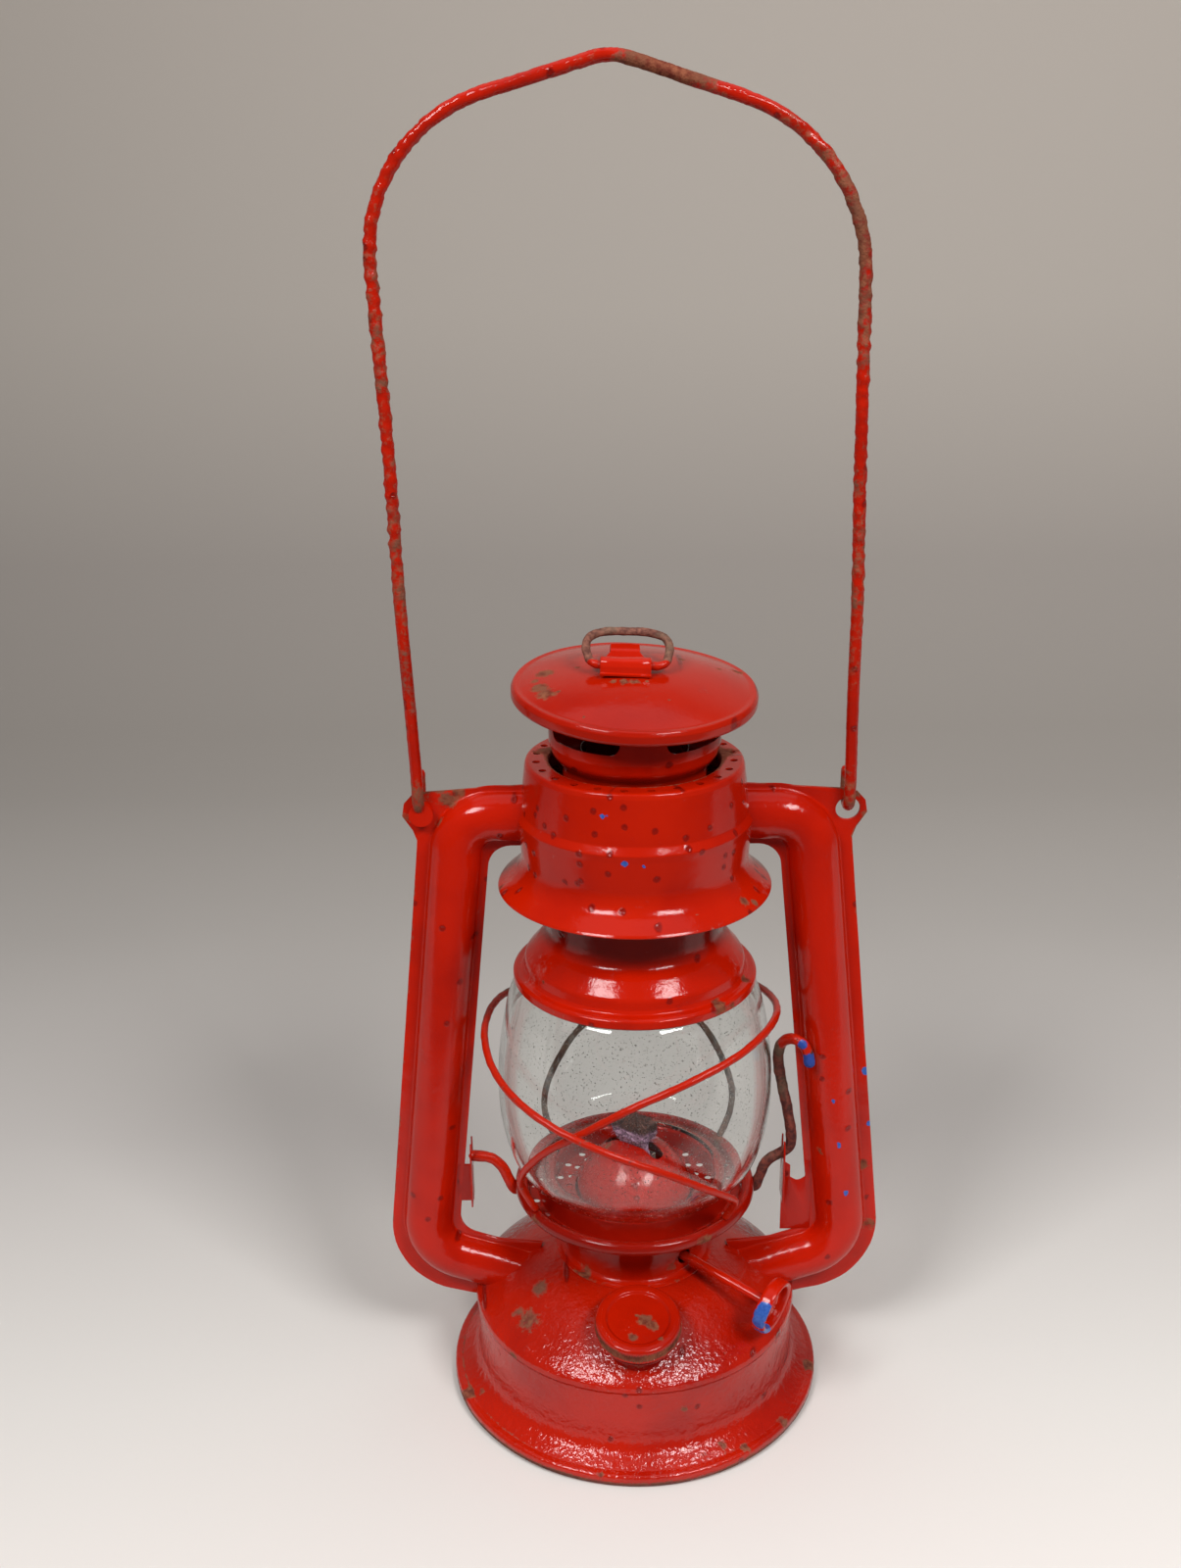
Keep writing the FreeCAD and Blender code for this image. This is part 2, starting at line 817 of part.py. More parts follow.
def burnerCollar():
    outline = [
        at(size.collar_flange, size.dome_height + size.sheet_wall),
        rounded(size.collar_radius, size.dome_height + size.sheet_wall, 0.7),
        rounded(size.collar_radius, size.collar_top, 0.9),
        at(size.collar_lip, size.collar_top),
    ]
    hole = shaftFrame(cylinder("CollarShaftHole", size.shaft_radius + size.collar_shaft_room, size.far_cut), size.pierce)
    notch = shaftFrame(block("CollarNotch", size.notch_width, size.notch_length, size.far_cut), size.pierce)
    return cut("BurnerCollar", spun("BurnerCollar", outline), hole, notch)


def burnerBody():
    wall = size.burner_radius
    outline = [
        at(size.collar_radius - size.sheet_wall - size.seam_gap, size.burner_flange),
        rounded(wall, size.burner_flange, 0.7),
        rounded(wall, size.burner_floor - size.sheet_wall, 0.9),
        at(0, size.burner_floor - size.sheet_wall),
    ]
    shell = spun("BurnerBody", outline, -size.sheet_wall)
    hole = shaftFrame(cylinder("BodyShaftHole", size.shaft_radius + size.shaft_play, size.far_cut), size.pierce / 2)
    slot = centredBlock("BodyWickHole", tubeLength() + size.seam_gap * 2,
                        tubeWidth() + size.seam_gap * 2, size.burner_floor - size.pierce / 2, size.pierce)
    draught = ringOf("BodyDraught", size.draught_circle, size.draught_hole, size.draught_count,
                     size.burner_floor - size.pierce / 2, size.pierce)
    return cut("BurnerBody", shell, hole, slot, draught)


def tubeLength():
    return size.wick_width + size.wick_gap * 2 + size.wick_tube_wall * 2


def tubeWidth():
    return size.wick_thick + size.wick_gap * 2 + size.wick_tube_wall * 2


def wickTube():
    height = size.wick_tube_top - size.wick_tube_foot
    outside = centredBlock("WickTubeOutside", tubeLength(), tubeWidth(), size.wick_tube_foot, height)
    inside = centredBlock("WickTubeBore", size.wick_width + size.wick_gap * 2,
                          size.wick_thick + size.wick_gap * 2, size.wick_tube_foot - 1, height + 2)
    tall = size.wheel_radius * 2 + size.window_play * 2
    window = centredBlock("WickTubeWindow", (size.wheel_place + size.window_play) * 2 + size.wheel_width,
                          size.shaft_offset, size.shaft_height - tall / 2, tall, -size.shaft_offset / 2)
    return cut("WickTube", outside, inside, window)


def burnerCone():
    outline = [
        at(size.cone_radius, size.burner_flange + size.sheet_wall + size.seam_gap),
        rounded(size.cone_radius, size.cone_knee_height, size.cone_knee_rounding),
        rounded(size.cone_crown, size.cone_top, size.cone_crown_rounding),
        at(0, size.cone_top),
    ]
    slot = centredBlock("ConeSlot", size.slot_length, size.slot_width, size.cone_knee_height, size.far_cut)
    return cut("BurnerCone", spun("BurnerCone", outline), slot)


def wick():
    return centredBlock("Wick", size.wick_width, size.wick_thick, size.wick_foot,
                        size.wick_top - size.wick_foot)


def wickShaft():
    length = size.knob_reach + size.shaft_inner_end - size.knob_hub_length / 2
    return shaftFrame(cylinder("WickShaft", size.shaft_radius, length), -size.shaft_inner_end)


def wickWheels():
    """Two toothed wheels on the shaft, one near each edge of the wick."""
    wheels = []
    for number, side in enumerate((-1, 1)):
        foot = size.wheel_place * side - size.wheel_width / 2
        disc = cylinder("WheelDisc%d" % number, size.wheel_radius, size.wheel_width)
        shiftUp(disc, foot)
        bore = cylinder("WheelBore%d" % number, size.shaft_radius, size.wheel_width)
        shiftUp(bore, foot)
        gaps = ringOf("WheelGaps%d" % number, size.wheel_radius + size.tooth_gap * 0.2,
                      size.tooth_gap * 2, size.wheel_teeth, foot, size.wheel_width)
        wheels.append(cut("Wheel%d" % number, disc, bore, gaps))
    return shaftFrame(fuse("WickWheels", *wheels))


def shiftUp(item, height):
    place(item, 0, 0, height)
    return item


def wickKnob():
    """A rolled ring with a folded web and a hub, square to the shaft."""
    ring = doc.addObject("Part::Torus", "KnobRing")
    bind(ring, Radius1=size.knob_radius - size.knob_roll, Radius2=size.knob_roll)
    web = cylinder("KnobWeb", size.knob_radius - size.knob_roll * 1.5, size.knob_web)
    shiftUp(web, -size.knob_web / 2)
    hub = cylinder("KnobHub", size.knob_hub, size.knob_hub_length)
    shiftUp(hub, -size.knob_hub_length / 2)
    windows = ringOf("KnobWindows", size.knob_window_place, size.knob_window, 3,
                     -size.knob_web, size.knob_web * 2, 90)
    body = fuse("KnobBody", ring, cut("KnobWebOpen", web, windows), hub)
    bore = cylinder("KnobBore", size.shaft_radius, size.knob_hub_length)
    shiftUp(bore, -size.knob_hub_length)
    return shaftFrame(cut("WickKnob", body, bore), size.knob_reach)


# Side tubes. The centreline runs level out of the hood, down the leg and into the tank.

def direction(across, up):
    length = root(across * across + up * up)
    return across / length, up / length


levelRun = (asSize(1), asSize(0))
legRun = direction(size.tube_foot_corner - size.tube_corner, size.tube_foot_height - size.tube_height)
armRun = (-cosine(size.arm_angle), -sine(size.arm_angle))


def tubeCorners():
    """The corners of the right tube's centreline, from the hood to the tank."""
    x, y = size.tube_corner, size.tube_height
    footX, footY = size.tube_foot_corner, size.tube_foot_height
    armX, armY = armRun
    return [
        (size.tube_start, y), (x, y), (footX, footY),
        (footX + armX * size.arm_length, footY + armY * size.arm_length),
    ]


def besideCentreline(distance):
    """The same corners moved sideways, outward where the distance is positive."""
    start, upper, lower, end = tubeCorners()
    moved = [(start[0], start[1] + distance)]
    for corner, before, after in ((upper, levelRun, legRun), (lower, legRun, armRun)):
        beforeX, beforeY = before
        afterX, afterY = after
        share = distance / (1 + beforeX * afterX + beforeY * afterY)
        moved.append((corner[0] - (beforeY + afterY) * share, corner[1] + (beforeX + afterX) * share))
    armX, armY = armRun
    moved.append((end[0] - armY * distance, end[1] + armX * distance))
    return moved


def legInnerEdge(height):
    """Where the inner edge of the leg's flange is at a height, measured from the axis."""
    legX, legY = legRun
    middle = size.tube_corner + (height - size.tube_height) * legX / legY
    return middle + (size.tube_half_width + size.inner_flange) / legY


def tubeWeb():
    """The flat flange on both sides of a tube half, with the ear of the bail."""
    outer = besideCentreline(size.tube_half_width + size.outer_flange)
    inner = besideCentreline(-size.tube_half_width - size.inner_flange)
    legX, legY = legRun
    drop = size.outer_flange - size.arm_flange
    web = padded("TubeWeb", [
        at(outer[0][0], outer[0][1] - drop),
        rounded(outer[1][0] - drop * legX / legY, outer[1][1] - drop, size.web_top_round),
        rounded(*outer[2], size.web_foot_round),
        at(*outer[3]),
        at(*inner[3]),
        rounded(*inner[2], size.web_inner_round),
        rounded(*inner[1], size.web_top_round),
        at(*inner[0]),
    ], "XZ_Plane", size.sheet_wall)
    ear = cylinder("Ear", size.ear_radius, size.sheet_wall)
    place(ear, earPlace, 0, earHeight, [("X", 90)])
    return fuse("WebAndEar", web, ear)


def tubeSweep(name, wall):
    """The oval tube itself, smaller by a wall."""
    body = doc.addObject("PartDesign::Body", name)
    path = bodySketch(body, name + "Path", "XZ_Plane")
    start, upper, lower, end = tubeCorners()
    draw(path, [at(*start), rounded(*upper, size.upper_bend), rounded(*lower, size.lower_bend), at(*end)])
    section = bodySketch(body, name + "Section", "YZ_Plane")
    bind(section, **{".AttachmentOffset.Base.z": size.tube_start})
    halfHeight = size.tube_half_width - wall
    halfDepth = size.tube_depth - wall
    oval = Part.Ellipse(Vector(0, size.tube_height.value, 0), halfHeight.value, halfDepth.value)
    oval.rotate(FreeCAD.Placement(Vector(), FreeCAD.Rotation(Vector(0, 0, 1), 90),
                                  Vector(0, size.tube_height.value, 0)))
    edge = section.addGeometry(oval)
    section.exposeInternalGeometry(edge)
    hold(section, asSize(0), "DistanceX", -1, 1, edge, 3)
    hold(section, size.tube_height, "DistanceY", -1, 1, edge, 3)
    section.addConstraint(Sketcher.Constraint("Vertical", edge + 1))
    hold(section, halfHeight * 2, "Distance", edge + 1, 1, edge + 1, 2)
    hold(section, halfDepth * 2, "Distance", edge + 2, 1, edge + 2, 2)
    sweep = body.newObject("PartDesign::AdditivePipe", name + "Sweep")
    sweep.Profile = section
    sweep.Spine = (path, ["Edge%d" % number for number in range(1, 6)])
    return body


def tubeHalf(web, outside, bore, hoodSpace, domeTrim):
    """The front half of the right tube, trimmed to the hood and the tank."""
    front = block("FrontHalfSpace", size.space_side, size.far_cut, size.space_height)
    place(front, 0, -size.far_cut, 0)
    shell = common("TubeFront", fuse("TubeBlank", web, outside), front)
    earHole = cylinder("EarHole", size.ear_hole, size.pierce)
    place(earHole, earPlace, size.pierce / 2, earHeight, [("X", 90)])
    return cut("TubeHalf", shell, bore, hoodSpace, domeTrim, earHole)


# Hood with its guide ring and spring

def hoodSide(gap=0):
    """The hood's outer face from its flared lip to its shoulder, pushed out by a gap.

    It starts with an arc to the right, which turns a strip's sides round."""
    bead = size.hood_bead
    return [
        at(size.hood_lip_radius + gap, hoodLip),
        bentRight(size.hood_radius + gap, hoodNeck, size.hood_flare_bend),
        at(size.hood_radius + gap, hoodBead - bead * 2),
        rounded(size.hood_radius + bead + gap, hoodBead - bead, 0.5),
        at(size.hood_radius + bead + gap, hoodBead),
    ]


def hoodSpace():
    gap = size.seam_gap
    return lathed("HoodSpace", hoodSide(gap) + [
        at(size.hood_top_radius + gap, hoodTop + gap),
        at(0, hoodTop + gap), at(0, hoodLip),
    ])


def hood(bore):
    outline = hoodSide() + [
        rounded(size.hood_top_radius, hoodTop, size.hood_shoulder),
        at(size.hood_opening, hoodTop),
    ]
    vents = ringOf("HoodVents", size.vent_circle, size.vent_hole, size.vent_count,
                   hoodTop - size.pierce / 2, size.pierce, 180 / size.vent_count)
    leftBore = mirrored("LeftBore", bore, Vector(1, 0, 0))
    return cut("Hood", spun("Hood", outline, -size.sheet_wall), vents, bore, leftBore)


def hoodInside(height):
    """The hood's inner radius at a height above its bead."""
    slope = (size.hood_radius + size.hood_bead - size.hood_top_radius) / (
        hoodTop - hoodBead)
    return size.hood_radius + size.hood_bead - (height - hoodBead) * slope - size.sheet_wall * 1.1


def chimneyGuide():
    edge = hoodInside(guideHeight) - size.seam_gap
    outline = [
        at(edge, guideHeight - size.guide_skirt),
        rounded(edge, guideHeight, 0.8),
        at(size.chimney_radius + size.guide_play, guideHeight),
    ]
    holes = ringOf("GuideHoles", size.guide_hole_circle, size.guide_hole, size.guide_hole_count,
                   guideHeight - size.pierce / 2, size.pierce, 180 / size.guide_hole_count)
    return cut("ChimneyGuide", spun("ChimneyGuide", outline), holes)


def chimneySpring():
    """A helix in quarter turns, each an arc through three of its points."""
    wire = size.spring_wire.value
    foot = size.chimney_foot.value + size.sheet_wall.value + wire / 2 + size.seam_gap.value
    top = guideHeight.value - size.sheet_wall.value - wire / 2 - size.seam_gap.value
    turns = int(size.spring_turns.value)
    pitch = (top - foot) / turns
    edges = []
    for step in range(turns * 4):
        points = [around(90 * (step + part), size.spring_radius.value, foot + pitch * (step + part) / 4)
                  for part in (0, 0.5, 1)]
        edges.append(Part.Arc(*points).toShape())
    print("spring gap between turns %.2f" % (pitch - wire))
    return wireTube("ChimneySpring", Part.Wire(edges), wire)


# Chimney: bell, tube, tent, cap, strap and ring

def bell():
    lip = size.bell_lip_radius
    top = size.bell_lip_foot + size.bell_lip_height
    outline = [
        at(lip - size.bell_lip_turn, size.bell_lip_foot),
        rounded(lip, size.bell_lip_foot, 1),
        rounded(lip, top, 1),
        at(size.bell_shoulder_radius, top),
        at(size.bell_shoulder_radius, size.bell_shoulder_foot),
        bentLeft(size.bell_neck_radius, size.bell_neck_foot, size.bell_bend),
        at(size.bell_neck_radius, size.bell_neck_top),
    ]
    return spun("Bell", outline)


def chimneyTube():
    outline = [
        at(size.bell_neck_radius - size.sheet_wall - size.seam_gap, size.chimney_foot + size.sheet_wall),
        rounded(size.chimney_radius, size.chimney_foot + size.sheet_wall, 0.8),
        at(size.chimney_radius, chimneyTop),
    ]
    return spun("ChimneyTube", outline)


def capFrame(item, x=0, y=0, z=0, lean=0):
    """Stands an item on the cap, which has settled forward and a little to the right.

    The item's own x, y and z are measured along the tilted cap."""
    pitch = size.cap_pitch_angle
    roll = size.cap_roll_angle
    x, y, z = asSize(x), asSize(y), asSize(z)
    alongY = cosine(pitch) * y - sine(pitch) * z
    alongZ = sine(pitch) * y + cosine(pitch) * z
    place(item, cosine(roll) * x + sine(roll) * alongZ, alongY,
          capHeight - sine(roll) * x + cosine(roll) * alongZ,
          [("Y", roll), ("X", pitch + lean)])
    return item


def capUnderside(radius):
    """The height of the cap's sheet underside above its rim, at a distance from the axis."""
    rim = size.cap_radius - size.cap_shoulder
    centre, bend = sphereThrough(asSize(0), size.cap_rise, rim, asSize(0))
    inner = bend - size.sheet_wall
    return centre + root(inner * inner - radius * radius)


def ventedTent():
    """It widens above the hood. Its windows run up to the cap, and its posts carry the cap."""
    wall = size.tent_wall_radius
    outline = [
        at(size.chimney_radius + size.seam_gap, tentFoot),
        rounded(size.tent_radius, tentFoot, 1),
        rounded(size.tent_radius, hoodTop + size.tent_step_rise, 1.2),
        rounded(wall, hoodTop + size.tent_wall_rise, 2),
        at(wall, capHeight + size.cap_rise),
    ]
    side = size.space_side
    above = block("AboveTent", side, side, size.far_cut)
    capFrame(above, -side / 2, -side / 2, capUnderside(wall) - size.seam_gap)
    windows = []
    for number in range(4):
        window = doc.addObject("Part::Cylinder", "TentWindow%d" % number)
        bind(window, Radius=wall + size.pierce, Height=size.far_cut, Angle=size.window_angle)
        turn = 90 * asSize(number) + (90 - size.window_angle) / 2 + size.tent_turn_angle
        place(window, 0, 0, windowFoot, [("Z", turn)])
        windows.append(window)
    return cut("VentedTent", spun("VentedTent", outline), above, *windows)


def cap():
    rim = size.cap_radius
    shoulder = at(rim - size.cap_shoulder, 0)
    outline = [
        at(rim - size.cap_curl, -size.cap_rim),
        rounded(rim, -size.cap_rim, 1),
        rounded(rim, 0, 1),
        shoulder,
        domed(shoulder, 0, size.cap_rise, True),
    ]
    return capFrame(spun("Cap", outline))


def ringStrap():
    """Rolled round the ring's foot at the front, with a hump that carries the ring behind."""
    foot = size.cap_rise + size.seam_gap
    knuckle = size.knuckle_radius
    thick = size.strap_thick
    plate = block("StrapPlate", size.strap_width, size.strap_back - size.strap_front, thick)
    place(plate, -size.strap_width / 2, size.strap_front, foot)
    barrel = cylinder("StrapBarrel", knuckle, size.strap_width)
    place(barrel, -size.strap_width / 2, -size.hinge_forward, foot + size.hinge_rise, [("Y", 90)])
    saddle = block("StrapSaddle", size.strap_width, knuckle * 1.6, size.hinge_rise)
    place(saddle, -size.strap_width / 2, -size.hinge_forward - knuckle * 0.8, foot)
    hump = block("StrapHump", size.hump_width, size.hump_depth, humpHeight())
    place(hump, -size.hump_width / 2, size.strap_back - size.hump_depth, foot)
    eye = cylinder("StrapEye", size.ring_wire / 2 + size.shaft_play, size.strap_width)
    place(eye, -size.strap_width / 2, -size.hinge_forward, foot + size.hinge_rise, [("Y", 90)])
    strap = cut("RingStrap", fuse("StrapSolid", plate, barrel, saddle, hump), eye)
    return capFrame(strap, size.strap_shift)


def humpHeight():
    """The hump ends a running gap below the far side of the ring."""
    lean = size.ring_lean_angle
    return size.hinge_rise + sine(lean) * size.ring_length - size.ring_wire / 2 - size.running_gap


def liftRing():
    """An open loop whose two ends meet inside the strap's barrel."""
    foot, side, far = size.ring_foot, size.ring_half_width, size.ring_length
    half = size.ring_end_gap / 2
    shift = size.ring_shift
    body = doc.addObject("PartDesign::Body", "LiftRing")
    path = bodySketch(body, "LiftRingPath", "XY_Plane")
    draw(path, [
        at(half, 0),
        rounded(foot, 0, size.ring_foot_round),
        rounded(side, far, size.ring_far_round),
        rounded(-side, far, size.ring_far_round),
        rounded(-foot, 0, size.ring_foot_round),
        at(-half, 0),
    ])
    section = bodySketch(body, "LiftRingSection", "YZ_Plane")
    bind(section, **{".AttachmentOffset.Base.z": half})
    circle = section.addGeometry(Part.Circle(Vector(), Vector(0, 0, 1), size.ring_wire.value / 2))
    section.addConstraint(Sketcher.Constraint("Coincident", -1, 1, circle, 3))
    hold(section, size.ring_wire / 2, "Radius", circle)
    sweep = body.newObject("PartDesign::AdditivePipe", "LiftRingSweep")
    sweep.Profile = section
    sweep.Spine = (path, ["Edge%d" % number for number in range(1, 10)])
    hinge = size.cap_rise + size.seam_gap + size.hinge_rise
    return capFrame(body, shift, -size.hinge_forward, hinge, size.ring_lean_angle)


# Bail

def bail():
    """A wire handle bent by hand, hooked through the ear of each tube."""
    hook = size.hook_radius.value
    ear = earHeight.value
    pivot = ear + size.ear_hole.value + size.bail_seat.value
    straight = pivot + size.bail_straight.value
    tail = size.hook_tail.value
    leftFoot = -earPlace.value - size.bail_left_out.value
    rightFoot = earPlace.value + size.bail_right_out.value
    points = [
        Vector(leftFoot, hook, pivot + tail),
        Vector(leftFoot, hook, pivot - hook),
        Vector(leftFoot, -hook, pivot - hook),
        Vector(leftFoot, -hook, straight),
        Vector(size.bail_left_corner.value, -hook, ear + size.bail_left_rise.value),
        Vector(size.bail_apex.value, -hook, ear + size.bail_apex_rise.value),
        Vector(size.bail_right_corner.value, -hook, ear + size.bail_right_rise.value),
        Vector(rightFoot, -hook, straight),
        Vector(rightFoot, -hook, pivot - hook),
        Vector(rightFoot, hook, pivot - hook),
        Vector(rightFoot, hook, pivot + tail),
    ]
    side = size.bail_side_bend.value
    radii = [hook, hook, side, size.bail_left_bend.value, size.bail_apex_bend.value,
             size.bail_right_bend.value, side, hook, hook]
    return wireTube("Bail", wireRoute(points, radii), size.bail_wire.value)


# Globe carrier

tabEdge = legInnerEdge(size.tab_top)
tabReach = tabEdge + size.tab_lap
flapPlace = tabEdge - size.flap_gap


def globeGlass():
    outline = [
        at(size.glass_foot_radius - size.glass_foot_width, size.plate_ridge + size.running_gap),
        at(size.glass_foot_radius, size.plate_ridge + size.running_gap),
        at(size.glass_heel_radius, size.plate_ridge + size.running_gap + size.glass_heel_rise),
        bentLeft(size.glass_low_radius, size.glass_low_height, size.glass_heel_bend),
        bentLeft(size.glass_radius, size.glass_belly, size.glass_low_bend),
        bentLeft(size.glass_high_radius, size.glass_high_height, size.glass_high_bend),
        bentLeft(size.glass_neck_radius, size.glass_neck_height, size.glass_shoulder_bend),
        at(size.glass_mouth_radius, size.glass_top),
    ]
    return spun("GlobeGlass", outline, size.glass_wall, "Arc")


def globePlate():
    rim = size.plate_rim_radius
    roll = size.plate_roll
    curl = size.plate_roll_round
    middle = size.plate_floor + 2.5
    outline = [
        at(rim - roll * 0.55, middle - roll / 2),
        rounded(rim, middle - roll / 2, curl),
        rounded(rim, middle + roll / 2, curl),
        rounded(rim - roll, middle + roll / 2, curl),
        rounded(size.plate_groove_outer, size.plate_floor, 0.6),
        rounded(size.plate_groove_inner, size.plate_floor, 0.6),
        rounded(size.plate_step_radius + 1.2, size.plate_step_height - 2.4, 0.6),
        rounded(size.plate_step_radius, size.plate_ridge, 0.9),
        rounded(size.plate_ridge_inner, size.plate_ridge, 0.9),
        rounded(size.plate_ridge_inner - 0.4, size.plate_floor, 0.6),
        at(size.plate_hole, size.plate_floor),
    ]
    low = size.plate_floor - size.pierce / 2
    groove = ringOf("GrooveHoles", (size.plate_groove_outer + size.plate_groove_inner) / 2,
                    size.groove_hole, size.groove_holes, low, size.pierce)
    outer = ringOf("FloorHolesOuter", size.floor_circle_outer, size.floor_hole, size.floor_holes, low,
                   size.pierce)
    inner = ringOf("FloorHolesInner", size.floor_circle_inner, size.floor_hole, size.floor_holes, low,
                   size.pierce, 180 / size.floor_holes)
    return cut("GlobePlate", spun("GlobePlate", outline), groove, outer, inner)


def guardWire(name, route):
    """One guard wire, through points given as a bearing and shares of the glass radius and height."""
    floor = size.plate_floor.value
    foot = floor + 2.5 + size.plate_roll.value / 2 + size.guard_wire.value * 0.1
    radius = size.plate_rim_radius.value - size.plate_roll.value / 2
    glass = size.glass_radius.value
    tall = size.glass_top.value - floor
    points = [around(route[0][0], radius, foot)]
    points += [around(degrees, out * glass, floor + up * tall) for degrees, out, up in route]
    points += [around(route[-1][0], radius, foot)]
    return wireTube(name, wireRoute(points, easyRadii(points)), size.guard_wire.value)


def leftGuardRoute():
    """From the front left of the plate, over the front and round behind, back to the left."""
    return [
        (-58, 0.909, 0.106), (-58, 0.984, 0.188), (-51, 1.040, 0.282), (-38, 1.049, 0.424),
        (-22, 1.049, 0.535), (-4, 1.044, 0.653), (18, 1.049, 0.735), (40, 1.056, 0.784),
        (60, 1.049, 0.806), (78, 1.035, 0.794), (94, 1.026, 0.768), (112, 1.033, 0.741),
        (130, 1.040, 0.706), (150, 1.040, 0.653), (170, 1.040, 0.592), (186, 1.044, 0.529),
        (197, 1.054, 0.471), (205, 1.058, 0.406), (212, 1.058, 0.335), (219, 1.054, 0.259),
        (224, 1.035, 0.186), (227, 0.985, 0.134), (229, 0.915, 0.098),
    ]


def rightGuardRoute():
    """From the front right of the plate, across the first wire, to the back right."""
    return [
        (48, 0.909, 0.106), (45, 0.993, 0.176), (30, 1.063, 0.282), (10, 1.096, 0.412),
        (-10, 1.117, 0.494), (-30, 1.124, 0.553), (-50, 1.114, 0.598), (-70, 1.107, 0.641),
        (-90, 1.100, 0.686), (-108, 1.089, 0.709), (-127, 1.089, 0.682), (-147, 1.105, 0.639),
        (-166, 1.117, 0.600), (-184, 1.117, 0.560), (-200, 1.096, 0.515), (-212, 1.070, 0.459),
        (-220, 1.058, 0.386), (-227, 1.056, 0.306), (-232, 1.044, 0.224), (-234, 0.993, 0.153),
        (-235, 0.918, 0.100),
    ]


def liftWire():
    """Under the plate from the left bracket, round behind, and up to the lever hook on the right.

    The lever's points are shares of its height, measured from where the wire lies in the slit."""
    wire = size.lift_wire.value
    low = size.plate_floor.value - size.sheet_wall.value - wire / 2 - size.seam_gap.value / 2
    circle = size.lift_circle.value
    rim = size.plate_rim_radius.value + wire / 2 + size.running_gap.value
    flap = flapPlace.value
    seat = size.slit_foot.value + size.slit_play.value + wire / 2
    rise = size.lever_rise.value
    side = size.lift_bend.value
    points = [
        Vector(-flap - size.lift_stub.value, 0, seat), Vector(-flap + side, 0, seat),
        Vector(-rim - side / 2, 0, seat - side * 0.6), Vector(-rim, 0, low + wire),
        Vector(-rim + side * 0.2, side * 0.2, low),
    ]
    for degrees in range(-105, -270, -15):
        points.append(around(degrees, circle / math.cos(math.radians(7.5)), low))
    points += [
        Vector(rim - side * 0.2, side * 0.2, low), Vector(rim, 0, low + wire * 1.2),
        Vector(rim + side * 0.43, 0, seat - side * 0.44), Vector(flap - side, 0, seat),
    ]
    lever = [
        (-0.036, 0.000, 0.052), (-0.043, 0.000, 0.197), (-0.082, 0.000, 0.391),
        (-0.133, 0.000, 0.616), (-0.157, -0.021, 0.788), (-0.142, -0.097, 0.927),
        (-0.073, -0.176, 1.000), (0.009, -0.206, 0.948), (0.043, -0.210, 0.790),
    ]
    points += [Vector(flap + x * rise, y * rise, seat + z * rise) for x, y, z in lever]
    return wireTube("LiftWire", wireRoute(points, easyRadii(points)), wire)


# Lift brackets on the tubes

def liftFlap(name, place_x):
    """A pointed upright flap with a slit, across the lantern's width."""
    half, tip = size.flap_half, size.flap_tip
    slit = size.lift_wire / 2 + size.slit_play
    flap = padded(name, [
        at(-half, size.flap_foot),
        at(half, size.flap_foot),
        at(half, size.flap_shoulder),
        at(slit + 0.6, tip),
        at(slit, tip),
        at(slit, size.slit_foot),
        at(-slit, size.slit_foot),
        at(-slit, tip),
        at(-slit - 0.6, tip),
        at(-half, size.flap_shoulder),
    ], "YZ_Plane", size.sheet_wall)
    place(flap, place_x)
    return flap


def leftLiftBracket():
    """The flap, and a tab that is soldered to the front of the left tube's flange."""
    inner = flapPlace + size.sheet_wall
    flap = liftFlap("LeftFlap", -inner)
    tab = padded("LeftTab", [
        at(-tabReach, size.flap_foot),
        at(-flapPlace, size.flap_foot),
        at(-flapPlace, size.tab_top),
        at(-tabReach, size.tab_top),
    ], "XZ_Plane", size.sheet_wall)
    place(tab, 0, -size.sheet_wall)
    return fuse("LeftLiftBracket", flap, tab)


def rightLiftBracket():
    """A notched plate on the front of the right tube's flange, with the flap at its inner edge."""
    flap = liftFlap("RightFlap", (flapPlace - size.plate_reach))
    plate = padded("RightPlate", [
        at((flapPlace - size.plate_reach), size.plate_foot),
        at(tabReach, size.plate_foot),
        at(tabReach, size.plate_top),
        at((flapPlace + size.notch_out), size.plate_top),
        at((flapPlace + size.notch_out), size.notch_foot),
        at((flapPlace - size.notch_in), size.notch_foot),
        at((flapPlace - size.notch_in), size.plate_top - 2),
        at((flapPlace - size.plate_reach), size.plate_top),
    ], "XZ_Plane", size.sheet_wall)
    place(plate, 0, -size.sheet_wall)
    return fuse("RightLiftBracket", flap, plate)


# Build

tubeBore = tubeSweep("TubeBore", size.sheet_wall)
domeTrim = domeSpace()
leftBore = mirrored("TubeBoreLeft", tubeBore, Vector(1, 0, 0))
well = fillerFrame(cylinder("FillerWell", size.filler_well, size.far_cut), -size.far_cut)
finish(cut("TankShell", tankShell(), tubeBore, leftBore, well), "tank_shell")
finish(tankFloor(), "tank_floor")
finish(airChamber(), "air_chamber")
finish(fillerNeck(), "filler_neck")
finish(burnerCollar(), "burner_collar")
finish(burnerBody(), "burner_body")
finish(wickTube(), "wick_tube")
finish(burnerCone(), "burner_cone")

